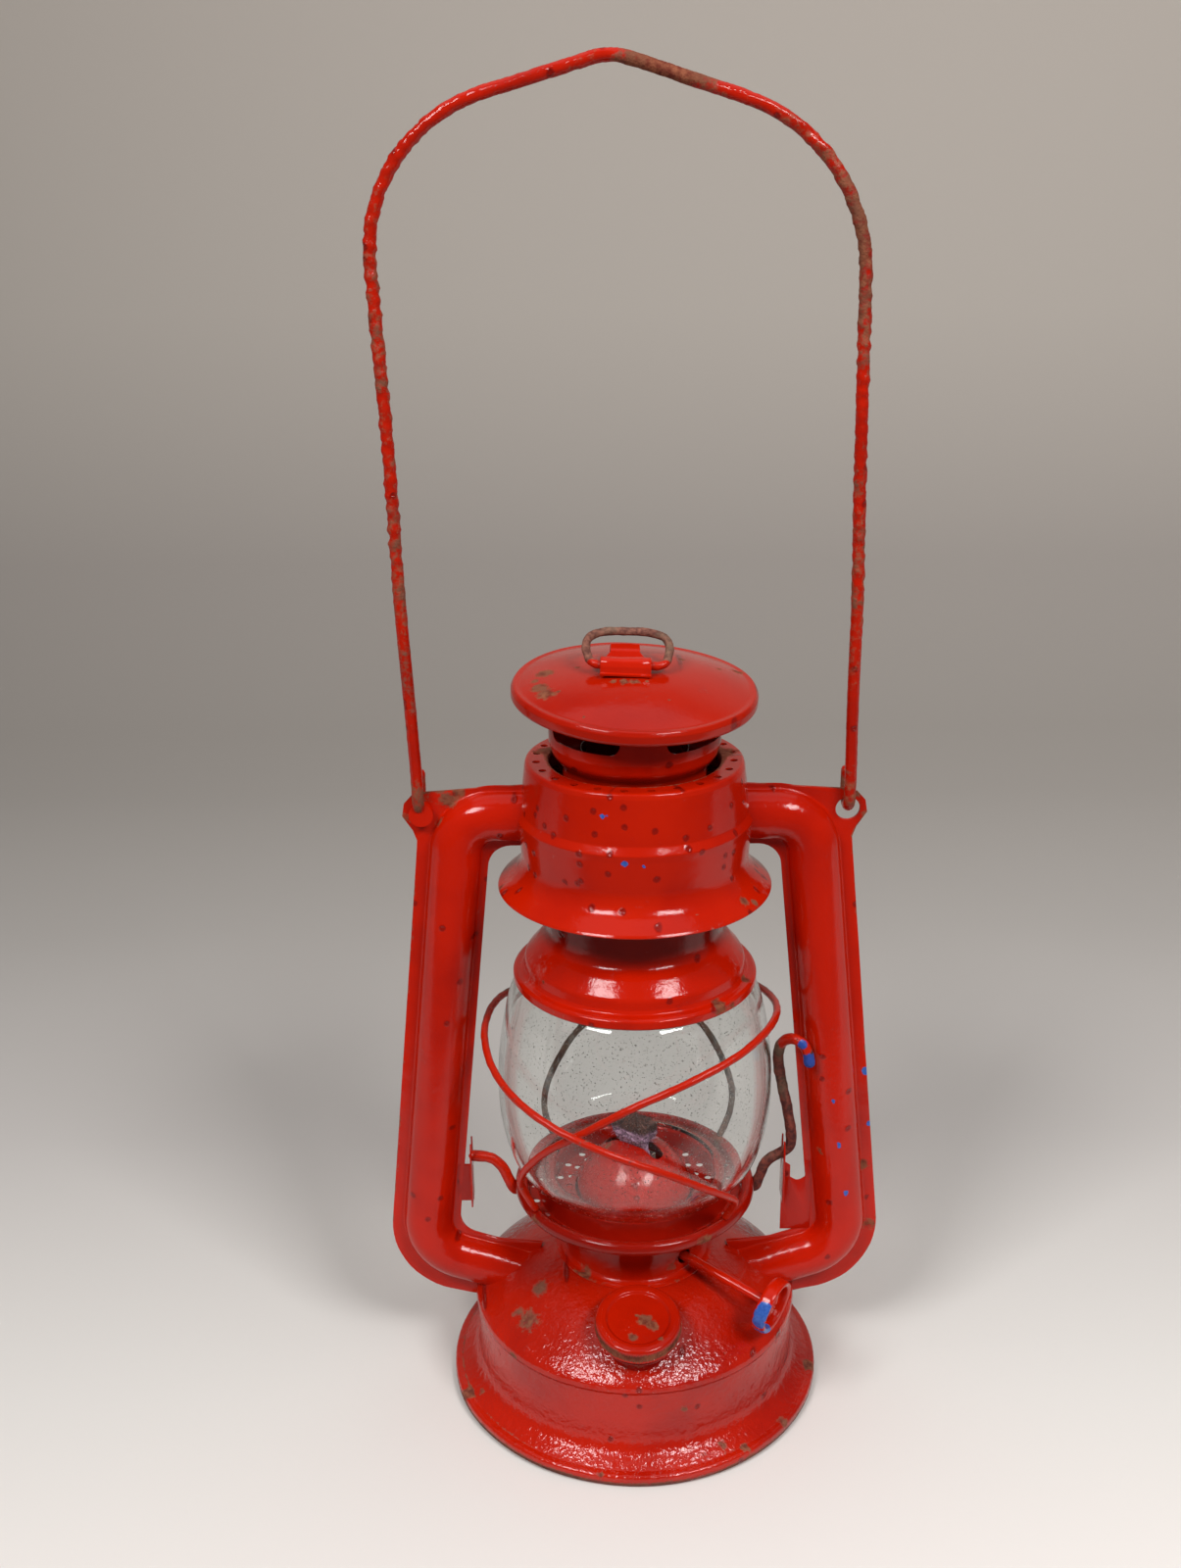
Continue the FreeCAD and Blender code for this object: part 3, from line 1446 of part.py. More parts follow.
rightFront = tubeHalf(tubeWeb(), tubeSweep("TubeOutside", asSize(0)), tubeBore, hoodSpace(), domeTrim)
rightRear = mirrored("RightTubeRear", rightFront, Vector(0, 1, 0))
finish(rightFront, "right_tube_front")
finish(rightRear, "right_tube_rear")
finish(mirrored("LeftTubeFront", rightFront, Vector(1, 0, 0)), "left_tube_front")
finish(mirrored("LeftTubeRear", rightRear, Vector(1, 0, 0)), "left_tube_rear")
finish(hood(tubeBore), "hood")
finish(chimneyGuide(), "chimney_guide")
finish(chimneySpring(), "chimney_spring")
finish(leftLiftBracket(), "left_lift_bracket")
finish(rightLiftBracket(), "right_lift_bracket")

finish(globePlate(), "globe_plate")
finish(globeGlass(), "globe_glass")
finish(guardWire("LeftGuardWire", leftGuardRoute()), "left_guard_wire")
finish(guardWire("RightGuardWire", rightGuardRoute()), "right_guard_wire")
finish(liftWire(), "lift_wire")

finish(bell(), "bell")
finish(chimneyTube(), "chimney_tube")
finish(ventedTent(), "vented_tent")
finish(cap(), "cap")
finish(ringStrap(), "ring_strap")
finish(liftRing(), "lift_ring")

finish(bail(), "bail")
finish(wick(), "wick")
finish(wickShaft(), "wick_shaft")
finish(wickWheels(), "wick_wheels")
finish(wickKnob(), "wick_knob")
finish(fillerGasket(), "filler_gasket")
finish(fillerCap(), "filler_cap")

doc.recompute()

broken = [item.Label for item in doc.Objects if "Invalid" in item.State or "Error" in item.State]
broken += [item.Label for item in subParts if item.Shape.isNull() or not item.Shape.isValid()]
for item in subParts:
    if not item.Shape.isNull():
        box = item.Shape.BoundBox
        print("%-18s solids %d, volume %8.1f, x %6.1f to %6.1f, y %6.1f to %6.1f, z %6.1f to %6.1f" % (
            item.Label, len(item.Shape.Solids), item.Shape.Volume,
            box.XMin, box.XMax, box.YMin, box.YMax, box.ZMin, box.ZMax))
if broken:
    raise RuntimeError("pieces that failed: " + ", ".join(broken))

os.makedirs("parts", exist_ok=True)
for item in subParts:
    item.Shape.exportStep("parts/%s.step" % item.Label)
print("%d pieces written" % len(subParts))
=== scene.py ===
import bpy
import math
import numpy as np
from mathutils import Matrix, Vector


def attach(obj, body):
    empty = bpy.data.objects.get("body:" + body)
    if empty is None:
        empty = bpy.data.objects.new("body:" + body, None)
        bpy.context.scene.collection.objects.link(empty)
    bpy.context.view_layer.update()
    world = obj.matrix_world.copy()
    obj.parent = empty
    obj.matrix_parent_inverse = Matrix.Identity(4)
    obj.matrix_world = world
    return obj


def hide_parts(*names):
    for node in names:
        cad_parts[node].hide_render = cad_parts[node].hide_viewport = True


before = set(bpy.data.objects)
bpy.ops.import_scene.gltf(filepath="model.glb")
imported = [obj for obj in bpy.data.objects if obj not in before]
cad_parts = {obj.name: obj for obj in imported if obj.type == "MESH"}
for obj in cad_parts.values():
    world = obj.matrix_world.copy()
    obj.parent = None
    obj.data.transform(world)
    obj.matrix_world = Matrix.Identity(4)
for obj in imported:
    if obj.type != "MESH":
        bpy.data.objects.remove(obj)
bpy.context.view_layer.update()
mm = 0.001  # every shape below is worked out in millimetres and stored in metres
print("frame loaded:", len(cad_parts), "nodes")


# Shape helpers

def unit(v):
    # Each vector over its own length.
    return v / np.maximum(np.linalg.norm(v, axis=-1, keepdims=True), 1e-12)


def around(count):
    # The angles of a full turn, evenly spaced.
    return np.linspace(0, 2 * math.pi, count, endpoint=False)


def ramp(values, low, high):
    # 0 up to low, 1 from high, straight between.
    return np.clip((values - low) / (high - low), 0, 1)


def bentLine(corners, fine=8):
    # Straight runs joined by arcs. A corner is its coordinates and then its bend radius;
    # an arc is centre + radius * (sin(angle) * into - cos(angle) * side).
    corners = np.array(corners, float)
    spots, bends = corners[:, :-1], corners[:, -1]
    made = [spots[:1]]
    for before, here, after, bend in zip(spots, spots[1:], spots[2:], bends[1:]):
        into, away = unit(here - before), unit(after - here)
        turn = math.acos(np.clip(into @ away, -1, 1))
        if bend <= 0 or turn < 0.02:
            made.append(here[None])
            continue
        room = 0.48 * min(np.linalg.norm(here - before), np.linalg.norm(after - here))
        bend = min(bend, room / math.tan(turn / 2))
        side = unit(away - (away @ into) * into)
        centre = here - into * bend * math.tan(turn / 2) + side * bend
        angles = np.linspace(0, turn, max(4, int(fine * turn) + 2))[:, None]
        made.append(centre + bend * (np.sin(angles) * into - np.cos(angles) * side))
    return np.vstack(made + [spots[-1:]])


def filled(line, step):
    # The same line with points added on its runs, so that none is longer than the step.
    counts = np.maximum(1, np.ceil(np.linalg.norm(np.diff(line, axis=0), axis=1) / step)).astype(int)
    run = np.repeat(np.arange(len(counts)), counts)
    share = ((np.arange(counts.sum()) - np.repeat(np.cumsum(counts) - counts, counts)) / counts[run])[:, None]
    return np.vstack([line[run] * (1 - share) + line[run + 1] * share, line[-1:]])


def runLength(line):
    # The way along a line to each of its points.
    return np.concatenate([[0], np.cumsum(np.linalg.norm(np.diff(line, axis=0), axis=1))])


def evenly(line, step):
    # Points at one spacing along a line.
    length = runLength(line)
    spots = np.linspace(0, length[-1], max(3, int(length[-1] / step) + 1))
    return np.stack([np.interp(spots, length, line[:, i]) for i in range(line.shape[1])], 1)


def softened(line, times):
    # Each inner point moves halfway to the middle of its neighbours, again and again.
    line = line.copy()
    for _ in range(times):
        line[1:-1] += 0.5 * ((line[:-2] + line[2:]) / 2 - line[1:-1])
    return line


def domeLine(start, end, count):
    # A part of a sphere centred on the axis, through two points of the profile.
    (r1, z1), (r2, z2) = start, end
    centre = (r1 ** 2 + z1 ** 2 - r2 ** 2 - z2 ** 2) / (2 * (z1 - z2))
    radius = math.hypot(r1, z1 - centre)
    angles = np.linspace(math.atan2(r1, z1 - centre), math.atan2(r2, z2 - centre), count)
    return np.stack([radius * np.sin(angles), centre + radius * np.cos(angles)], 1)


def bowLine(start, end, radius, count=14):
    # An arc of the given radius from start to end, bending left of the way it goes.
    start, end = np.array(start, float), np.array(end, float)
    half = (end - start) / 2
    across = np.array([-half[1], half[0]]) / np.linalg.norm(half)
    centre = start + half + across * math.sqrt(radius ** 2 - half @ half)
    a, b = start - centre, end - centre
    angles = np.linspace(0, math.acos(np.clip(a @ b / radius ** 2, -1, 1)), count)
    return np.stack([centre[0] + a[0] * np.cos(angles) - a[1] * np.sin(angles),
                     centre[1] + a[0] * np.sin(angles) + a[1] * np.cos(angles)], 1)


def leftOf(line):
    # Unit vectors to the left of a flat line: its direction (x, y) turned to (-y, x).
    along = unit(np.gradient(line, axis=0))
    return np.stack([-along[:, 1], along[:, 0]], 1)


def sheetLoop(line, wall):
    # A closed outline of bent sheet: the line, a rounded edge, the line pushed to its left, a rounded edge.
    along = unit(np.gradient(line, axis=0))
    far = line + leftOf(line) * wall
    turn = np.array([0.25, 0.5, 0.75])[:, None] * math.pi
    ends = []
    for near, other, out in ((line[-1], far[-1], along[-1]), (far[0], line[0], -along[0])):
        middle = (near + other) / 2
        ends.append(middle + (near - middle) * np.cos(turn) + out * wall / 2 * np.sin(turn))
    return np.vstack([line, ends[0], far[::-1], ends[1]])


def innerLine(line, wall, least):
    # The line pushed left by the wall and read backwards, kept off the axis.
    inner = (line + leftOf(line) * wall)[::-1]
    inner[:, 0] = np.maximum(inner[:, 0], least)
    return inner


def ripple(points, span, seed, count=9):
    # A smooth random field near -1 to 1: a sum of cosines along random directions, bumps about span apart.
    chance = np.random.default_rng(seed)
    waves = unit(chance.normal(size=(count, 3))) * chance.uniform(0.6, 1.5, (count, 1)) * math.pi / span
    return np.cos(points @ waves.T + chance.uniform(0, 2 * math.pi, count)).sum(-1) * math.sqrt(2 / count) / 1.6


def spun(loop, count=192, sag=0.0, span=40.0, seed=0):
    # A profile of (radius, height) turned about Z, with slow dents of depth sag square to the axis.
    angles = around(count)
    r, z = loop[:, :1], loop[:, 1:2]
    grid = np.stack([r * np.sin(angles), -r * np.cos(angles), z + 0 * angles], 2)
    if sag:
        dent = ripple(grid, span, seed) * sag
        outward = np.stack([np.sin(angles), -np.cos(angles), 0 * angles], 1)
        grid = grid + outward * (dent * np.clip(r / 10, 0, 1))[..., None]
        grid[..., 2] += ripple(grid, span * 0.8, seed + 50) * sag * 0.6
    return grid


def swept(path, radius, count=14, bumps=0.0, span=2.0, seed=0):
    # A round section carried along a path by a frame that never twists, its radius roughened by bumps.
    along = unit(np.gradient(path, axis=0))
    sides = [unit(np.cross(along[0], [0.3, 1, 0.2]))]
    for t in along[1:]:
        sides.append(unit(sides[-1] - (sides[-1] @ t) * t))
    side = np.array(sides)
    other = np.cross(along, side)
    angles = around(count)
    out = side[:, None] * np.cos(angles)[:, None] + other[:, None] * np.sin(angles)[:, None]
    radius = np.broadcast_to(np.asarray(radius, float), len(path))[:, None]
    grid = path[:, None] + out * radius[..., None]
    if bumps:
        grid = grid + out * (ripple(grid, span, seed) + 0.6 * ripple(grid, span * 0.45, seed + 9))[..., None] * bumps
    return grid


def tipped(path, radius):
    # Radii along a path that close to a round end at both ends of it.
    length = runLength(path)
    near = np.clip(np.minimum(length, length[-1] - length) / radius, 0, 1)
    return radius * np.sqrt(np.clip(1 - (1 - near) ** 2, 0.02, 1))


def smoothed(mesh, sharp=35):
    # Smooth faces, with edges sharper than the given degrees left hard.
    mesh.polygons.foreach_set("use_smooth", np.ones(len(mesh.polygons), bool))
    mesh.set_sharp_from_angle(angle=math.radians(sharp))
    mesh.update()


def putFaces(name, vertices, faces, sharp=35, scale=mm):
    # A mesh and its object from vertices in millimetres and faces as lists of their numbers.
    mesh = bpy.data.meshes.new(name)
    mesh.from_pydata((vertices * scale).tolist(), [], faces)
    smoothed(mesh, sharp)
    piece = bpy.data.objects.new(name, mesh)
    bpy.context.scene.collection.objects.link(piece)
    return piece


def putMesh(name, grid, closed=True, sharp=35):
    # grid[u, v] goes round in v. In u it either closes on itself or ends in a fan about a middle point.
    rows, cols = grid.shape[:2]
    vertices = grid.reshape(-1, 3)
    index = np.arange(rows * cols).reshape(rows, cols)
    wide = np.hstack([index, index[:, :1]])
    tall = np.vstack([wide, wide[:1]]) if closed else wide
    quads = np.stack([tall[:-1, :-1], tall[1:, :-1], tall[1:, 1:], tall[:-1, 1:]], -1).reshape(-1, 4)
    faces = quads.tolist()
    if not closed:
        vertices = np.vstack([vertices, grid[0].mean(0), grid[-1].mean(0)])
        foot, head = rows * cols, rows * cols + 1
        faces += np.stack([np.full(cols, foot), wide[0, :-1], wide[0, 1:]], 1).tolist()
        faces += np.stack([np.full(cols, head), wide[-1, 1:], wide[-1, :-1]], 1).tolist()

    # six times the volume is negative where the faces look inwards
    a, b, c, d = np.moveaxis(vertices[quads], 1, 0)
    if (a * (np.cross(b, c) + np.cross(c, d))).sum() < 0:
        faces = [face[::-1] for face in faces]
    return putFaces(name, vertices, faces, sharp)


def rod(name, ends, radius, count, step=2):
    # A straight round bar, to cut with.
    return putMesh(name, swept(filled(ends, step), radius, count), closed=False)


def cutAway(piece, *cutters):
    # Takes the cutters out of the piece for good, and removes them.
    for cutter in cutters:
        knife = piece.modifiers.new("cut", "BOOLEAN")
        knife.solver, knife.operation, knife.object = "EXACT", "DIFFERENCE", cutter
    bpy.context.view_layer.update()
    made = bpy.data.meshes.new_from_object(piece.evaluated_get(bpy.context.evaluated_depsgraph_get()))
    piece.modifiers.clear()
    piece.data = made
    smoothed(made)
    for cutter in cutters:
        bpy.data.objects.remove(cutter)


def pegs(name, spots, axes, radius, length, count=14):
    # Many round pegs in one mesh: each spot and axis carries the same small prism.
    spots, axes = np.array(spots, float), unit(np.array(axes, float))
    side = unit(np.cross(axes, [0.13, 0.31, 0.77]))
    other = np.cross(axes, side)
    angles = around(count)
    ring = side[:, None] * np.cos(angles)[:, None] * radius + other[:, None] * np.sin(angles)[:, None] * radius
    low = spots[:, None] + ring - axes[:, None] * length / 2
    vertices = np.stack([low, low + axes[:, None] * length], 1).reshape(-1, 3)
    base = (np.arange(len(spots)) * count * 2)[:, None]
    a = np.arange(count)
    b = (a + 1) % count
    walls = (base[..., None] + np.stack([a, b, b + count, a + count], 1)).reshape(-1, 4)
    return putFaces(name, vertices, walls.tolist() + (base + a[::-1]).tolist() + (base + count + a).tolist())


def bearing(degrees, radius, height):
    # Points round the axis, by their angle from the front, -Y, towards the right, +X.
    angle = np.radians(degrees)
    return np.stack([radius * np.sin(angle), -radius * np.cos(angle), height + 0 * angle], -1)


def frameAt(origin, *turns):
    # A place with its origin and turns, each (axis, degrees). The turn that is written last acts first.
    place = Matrix.Identity(4)
    for axis, degrees in turns:
        place = place @ Matrix.Rotation(math.radians(degrees), 4, axis)
    place = np.array(place)
    place[:3, 3] = origin
    return place


def moved(points, place):
    # A place's turn times each point, plus its origin.
    return np.asarray(points, float) @ place[:3, :3].T + place[:3, 3]


def seenFrom(points, place):
    # The reverse of moved: the same points in the place's own coordinates.
    return (points - place[:3, 3]) @ place[:3, :3]


def coordinates(piece):
    # The mesh's vertices in millimetres.
    found = np.empty(len(piece.data.vertices) * 3, np.float32)
    piece.data.vertices.foreach_get("co", found)
    return found.reshape(-1, 3).astype(float) / mm


def mark(piece, **marks):
    # Soft marks on the surface as attributes: each is a list of (x, y, z, reach, strength) spots, or ready values.
    points = coordinates(piece)
    for name, spots in marks.items():
        if isinstance(spots, np.ndarray):
            values = spots
        else:
            values = np.zeros(len(points))
            for x, y, z, reach, strength in spots:
                far = np.linalg.norm(points - (x, y, z), axis=1) / reach
                values = np.maximum(values, strength * np.exp(-far ** 2))
        attribute = piece.data.attributes.new(name, "FLOAT", "POINT")
        attribute.data.foreach_set("value", values.astype(np.float32))


def nearRims(points, rims):
    # How close each point is to circles about Z: (radius, height, width, strength) each.
    radius = np.hypot(points[:, 0], points[:, 1])
    values = np.zeros(len(points))
    for r, z, width, strength in rims:
        values = np.maximum(values, strength * np.exp(-((radius - r) ** 2 + (points[:, 2] - z) ** 2) / width ** 2))
    return values


def bell(values, middle, width):
    # A smooth bump of height 1: e to the minus of the distance from the middle over the width, squared.
    return np.exp(-((values - middle) / width) ** 2)


def settle(piece, material, body, cadNode=None):
    # A piece gets its material and the body that it rides on; the CAD node that it stands for is hidden.
    piece.data.materials.append(material)
    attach(piece, body)
    if cadNode:
        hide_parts(cadNode)


# Material helpers

def plug(made, values):
    # A node's inputs, by name or as i and a number, are set to values or linked from sockets.
    for key, value in values.items():
        socket = made.inputs[int(key[1:]) if key[1:].isdigit() else key]
        if isinstance(value, bpy.types.NodeSocket):
            made.id_data.links.new(value, socket)
        else:
            socket.default_value = value


def node(tree, kind, settings=None, **inputs):
    # A shader node with its settings, and its inputs as values or sockets.
    made = tree.nodes.new("ShaderNode" + kind)
    for key, value in (settings or {}).items():
        setattr(made, key, value)
    plug(made, inputs)
    return made


def maths(operation, *terms):
    # One Math node on numbers and sockets, in the tree that the sockets belong to.
    tree = next(term.id_data for term in terms if isinstance(term, bpy.types.NodeSocket))
    return node(tree, "Math", {"operation": operation}, **{"i%d" % i: t for i, t in enumerate(terms)}).outputs[0]


def times(a, b):
    return maths("MULTIPLY", a, b)


def timesPlus(a, b, c):
    return maths("MULTIPLY_ADD", a, b, c)


def noise(vector, scale, detail=3.0, rough=0.55):
    return node(vector.id_data, "TexNoise", Vector=vector, Scale=scale, Detail=detail, Roughness=rough).outputs["Fac"]


def stepUp(value, low, high):
    # 0 up to low, 1 from high, a smooth step between.
    return node(value.id_data, "MapRange", {"interpolation_type": "SMOOTHSTEP"}, Value=value,
                **{"From Min": low, "From Max": high}).outputs["Result"]


def blendColour(share, a, b):
    return node(share.id_data, "Mix", {"data_type": "RGBA"}, i0=share, i6=a, i7=b).outputs[2]


def blendNumber(share, a, b):
    return node(share.id_data, "Mix", {"data_type": "FLOAT"}, i0=share, i2=a, i3=b).outputs[0]


def skinGroup(name, values):
    # A node group with these inputs, None for a vector, that gives a colour, a roughness and a height.
    tree = bpy.data.node_groups.new(name, "ShaderNodeTree")
    for label, value in values.items():
        kind = "Vector" if value is None else "Color" if isinstance(value, tuple) else "Float"
        socket = tree.interface.new_socket(label, in_out="INPUT", socket_type="NodeSocket" + kind)
        if value is not None:
            socket.default_value = value
    for label, kind in (("Colour", "Color"), ("Roughness", "Float"), ("Height", "Float")):
        tree.interface.new_socket(label, in_out="OUTPUT", socket_type="NodeSocket" + kind)
    return tree, tree.nodes.new("NodeGroupInput").outputs, tree.nodes.new("NodeGroupOutput")


marks = ("Rust Mark", "Blue Mark", "Worn Mark", "Haze Mark", "Soot Mark")  # each read from an attribute of the mesh
grain = {"slow": 28, "middle": 130, "fine": 520, "grit": 1500, "cells": 225.0}  # noise scales, per metre
ironGrain = {"slow": 90, "fine": 520, "grit": 1700}


def makePaintSkin():
    # Sprayed enamel over old paint: slow colour change, orange peel, blisters, chips down to rust or blue.
    tree, given, give = skinGroup("paintSkin", {
        "Vector": None, "Flat Vector": None, "Paint": (0.6, 0.01, 0.003, 1), "Shade": (0.3, 0.004, 0.002, 1),
        "Dust": 0.1, "Peel": 1.0, "Blister": 0.3, "Chip": 0.2, **dict.fromkeys(marks, 0.0)})
    v = given["Vector"]
    slow, middle = noise(v, grain["slow"]), noise(v, grain["middle"], 4, 0.6)
    fine, grit = noise(v, grain["fine"], 3, 0.6), noise(v, grain["grit"], 2)
    colour = blendColour(stepUp(slow, 0.42, 0.75), given["Paint"], given["Shade"])
    colour = blendColour(times(stepUp(middle, 0.6, 0.78), 0.55), colour, given["Shade"])

    # blisters and dark pits: the middles of some cells, laid out flat so that they come out round
    cells = node(tree, "TexVoronoi", {"voronoi_dimensions": "2D"}, Vector=given["Flat Vector"], Scale=grain["cells"],
                 Randomness=1.0)
    chosen = node(tree, "SeparateColor", Color=cells.outputs["Color"]).outputs[0]
    picked = maths("LESS_THAN", chosen, given["Blister"])
    wobble = timesPlus(fine, 0.25, cells.outputs["Distance"])
    pit, core = [times(maths("SUBTRACT", 1.0, stepUp(wobble, low, high)), picked)
                 for low, high in ((0.27, 0.42), (0.16, 0.25))]
    colour = blendColour(times(pit, 0.75), colour, (0.17, 0.0035, 0.002, 1))

    # rust where the marks and the noise together are high
    patch = timesPlus(middle, 0.6, timesPlus(fine, 0.6, times(grit, 0.25)))
    marked = timesPlus(given["Worn Mark"], 0.55, timesPlus(given["Rust Mark"], 0.75, patch))
    rust = stepUp(timesPlus(given["Chip"], 0.3, marked), 1.08, 1.4)
    rustColour = blendColour(stepUp(fine, 0.35, 0.65), (0.09, 0.022, 0.01, 1), (0.25, 0.09, 0.042, 1))
    rustColour = blendColour(stepUp(middle, 0.45, 0.7), rustColour, (0.15, 0.065, 0.035, 1))
    colour = blendColour(times(rust, 0.88), colour, rustColour)

    # the blue coat that the red one was sprayed over, and soot, which also serves as painted shade: a near-black red
    # where the soot mark is high
    blue = stepUp(timesPlus(given["Blue Mark"], 0.9, times(fine, 0.5)), 0.62, 0.72)
    colour = blendColour(blue, colour, blendColour(grit, (0.012, 0.04, 0.26, 1), (0.06, 0.17, 0.55, 1)))
    colour = blendColour(given["Soot Mark"], colour, (0.035, 0.005, 0.004, 1))

    # dust and the pale bloom of dried spray
    haze = times(stepUp(timesPlus(given["Haze Mark"], 0.45, timesPlus(fine, 0.5, middle)), 0.95, 1.25), given["Dust"])
    colour = blendColour(haze, colour, (0.44, 0.16, 0.14, 1))
    rough = blendNumber(rust, timesPlus(haze, 0.6, timesPlus(middle, 0.14, 0.05)), 0.85)

    # orange peel, raised blisters with sunk middles, and rough sunken rust
    ridges = times(timesPlus(fine, 0.5, times(middle, 0.9)), given["Peel"])
    height = maths("SUBTRACT", timesPlus(pit, 0.5, timesPlus(grit, 0.12, ridges)), core)
    height = timesPlus(rust, timesPlus(grit, 1.6, -0.9), height)
    plug(give, {"Colour": colour, "Roughness": rough, "Height": height})
    return tree


def makeRustSkin():
    # Bare pitted iron: brown and ochre rust over dark metal, rough and uneven, with some paint left.
    tree, given, give = skinGroup("rustSkin", {
        "Vector": None, "Dark": (0.05, 0.022, 0.014, 1), "Light": (0.27, 0.13, 0.06, 1), "Paint Left": 0.0,
        "Blue Mark": 0.0})
    v = given["Vector"]
    g = ironGrain
    slow, fine, grit = noise(v, g["slow"], 4), noise(v, g["fine"], 4, 0.65), noise(v, g["grit"], 2)
    colour = blendColour(stepUp(fine, 0.35, 0.68), given["Dark"], given["Light"])
    colour = blendColour(times(stepUp(slow, 0.45, 0.7), 0.6), colour, (0.17, 0.14, 0.09, 1))
    left = times(stepUp(timesPlus(slow, 0.8, given["Paint Left"]), 0.7, 0.8), stepUp(fine, 0.26, 0.4))
    colour = blendColour(left, colour, (0.47, 0.011, 0.001, 1))
    blue = stepUp(timesPlus(given["Blue Mark"], 0.9, times(fine, 0.5)), 0.62, 0.72)
    colour = blendColour(blue, colour, (0.025, 0.06, 0.3, 1))
    plug(give, {"Colour": colour, "Roughness": blendNumber(left, 0.75, 0.2), "Height": timesPlus(grit, 0.5, fine)})
    return tree


paintSkin = makePaintSkin()
rustSkin = makeRustSkin()


def newMaterial(name):
    # A material, its tree, its Principled shader and the place on the object, in metres.
    made = bpy.data.materials.new(name)
    made.use_nodes = True
    tree = made.node_tree
    return made, tree, tree.nodes["Principled BSDF"], node(tree, "TexCoord").outputs["Object"]


def flatPlace(tree, place, turned):
    # Two coordinates along the surface: height, and the arc about Z for turned pieces or X for the others.
    x, y, z = node(tree, "SeparateXYZ", Vector=place).outputs
    arc = times(maths("ARCTAN2", x, times(y, -1.0)), turned) if turned else x
    return node(tree, "CombineXYZ", X=arc, Y=z).outputs["Vector"]


def skinned(name, skin, values, bump=0.3, reach=0.0004, turned=0.0, **sockets):
    # A material that lays a skin group over one Principled shader, with the marks of the mesh.
    made, tree, shader, place = newMaterial(name)
    placed = node(tree, "Group", {"node_tree": skin}, Vector=place)
    if "Flat Vector" in placed.inputs:
        plug(placed, {"Flat Vector": flatPlace(tree, place, turned)})
    for key in marks:
        if key in placed.inputs:
            source = node(tree, "Attribute", {"attribute_name": key.split()[0].lower()})
            plug(placed, {key: source.outputs["Fac"]})
    plug(placed, values)
    relief = node(tree, "Bump", Strength=bump, Distance=reach, Height=placed.outputs["Height"])
    plug(shader, {"Base Color": placed.outputs["Colour"], "Roughness": placed.outputs["Roughness"],
                  "Normal": relief.outputs["Normal"]})
    plug(shader, {key.replace("_", " "): value for key, value in sockets.items()})
    return made


red, deepRed = (0.51, 0.0096, 0.0005), (0.33, 0.0048, 0.0008)
gloss = 0.26  # specular level of most of the paint


def painted(name, paint, shade, dust, peel, blister, chip, bump, level=gloss, **more):
    # An enamel by its two reds, its share of dust, orange peel, blisters and chips, and its depth and gloss.
    values = {"Paint": paint + (1,), "Shade": shade + (1,),
              "Dust": dust, "Peel": peel, "Blister": blister, "Chip": chip}
    return skinned(name, paintSkin, values, bump=bump, Specular_IOR_Level=level, **more)


def paintedIron(name, dark, light, left, bump=0.6):
    # Rusty iron on which red paint is left where the mesh's own red mark and the noise say so.
    made = skinned(name, rustSkin, {"Dark": dark + (1,), "Light": light + (1,)}, bump, Specular_IOR_Level=gloss)
    placed = next(n for n in made.node_tree.nodes if n.type == "GROUP")
    source = node(made.node_tree, "Attribute", {"attribute_name": "red"})
    plug(placed, {"Paint Left": maths("ADD", source.outputs["Fac"], left)})
    return made


enamel = painted("sprayedEnamel", red, deepRed, dust=0.35, peel=0.8, blister=0.05, chip=0.1, bump=0.35)
darkEnamel = painted("shadedEnamel", (0.16, 0.004, 0.003), (0.06, 0.006, 0.008), dust=0.3, peel=1.5, blister=0.2,
                     chip=0.5, bump=0.4)
plainSteel = skinned("dullSteel", rustSkin, {
    "Dark": (0.09, 0.08, 0.075, 1), "Light": (0.24, 0.21, 0.18, 1), "Paint Left": -0.5},
    bump=0.25, reach=0.0002, Metallic=0.6)
print("materials made")

# Tank

tank = {
    "wall": 0.55, "dent": 0.16, "wellReach": 11.4, "wellDepth": 9.0,
    "foot": [(56.2, 2.4, 0), (56.2, 0.1, 1.4), (60, 0.1, 1.9), (60, 4.3, 1.9), (57.6, 4.5, 1.0), (51.5, 8.6, 14),
             (51.5, 27.6, 1.5), (52.2, 28.9, 0.9), (51.9, 30.4, 1.2), (50.9, 31.6, 0)],
    "domeFoot": (50.9, 31.6), "domeTop": (25.6, 46.0), "land": [(24.0, 46.15), (20.5, 46.15)],
    "rims": [(60, 1.2, 1.5, 1.2), (59, 3.2, 0.8, 0.7), (56.3, 1.2, 1.6, 1.0), (57.4, 4.6, 0.7, 0.5),
             (52.3, 29.2, 0.7, 0.45), (20.6, 46.2, 1.2, 0.6)],
    "rust": [(-30.4, -18.4, 41.8, 3.6, 0.95), (-33.7, -28, 36.9, 5, 0.95), (-37, -24, 36, 3, 0.8),
             (-38.6, -34.9, 28.7, 1.2, 1.1), (16.1, -52, 8.8, 1.6, 1.1), (25.8, -49.1, 7.1, 2.0, 1.1),
             (20, -52.5, 6, 1.4, 1.0), (14, -49.5, 21, 1.6, 0.9), (-54.6, -22.6, 4.4, 2.6, 1.2),
             (-50.4, -24.1, 6.7, 1.8, 1.1), (57.5, -10.9, 4.5, 2.6, 1.2), (46, -37, 4.2, 1.6, 1.1),
             (-12, -58.5, 4.3, 1.4, 1.0), (33, -48, 4, 1.8, 1.0), (-50, 20, 25, 6, 0.9), (30, 44, 24, 5, 0.9),
             (8, 30, 44, 4, 0.9)]}
fillerPlace = frameAt((0, -41.2, 48.2), ("X", 13.0))
tankEnamel = painted("wrinkledEnamel", (0.47, 0.0096, 0.0006), deepRed, dust=0.35, peel=2.0, blister=0.04, chip=0.16,
                     bump=0.5, level=0.45, reach=0.0005)


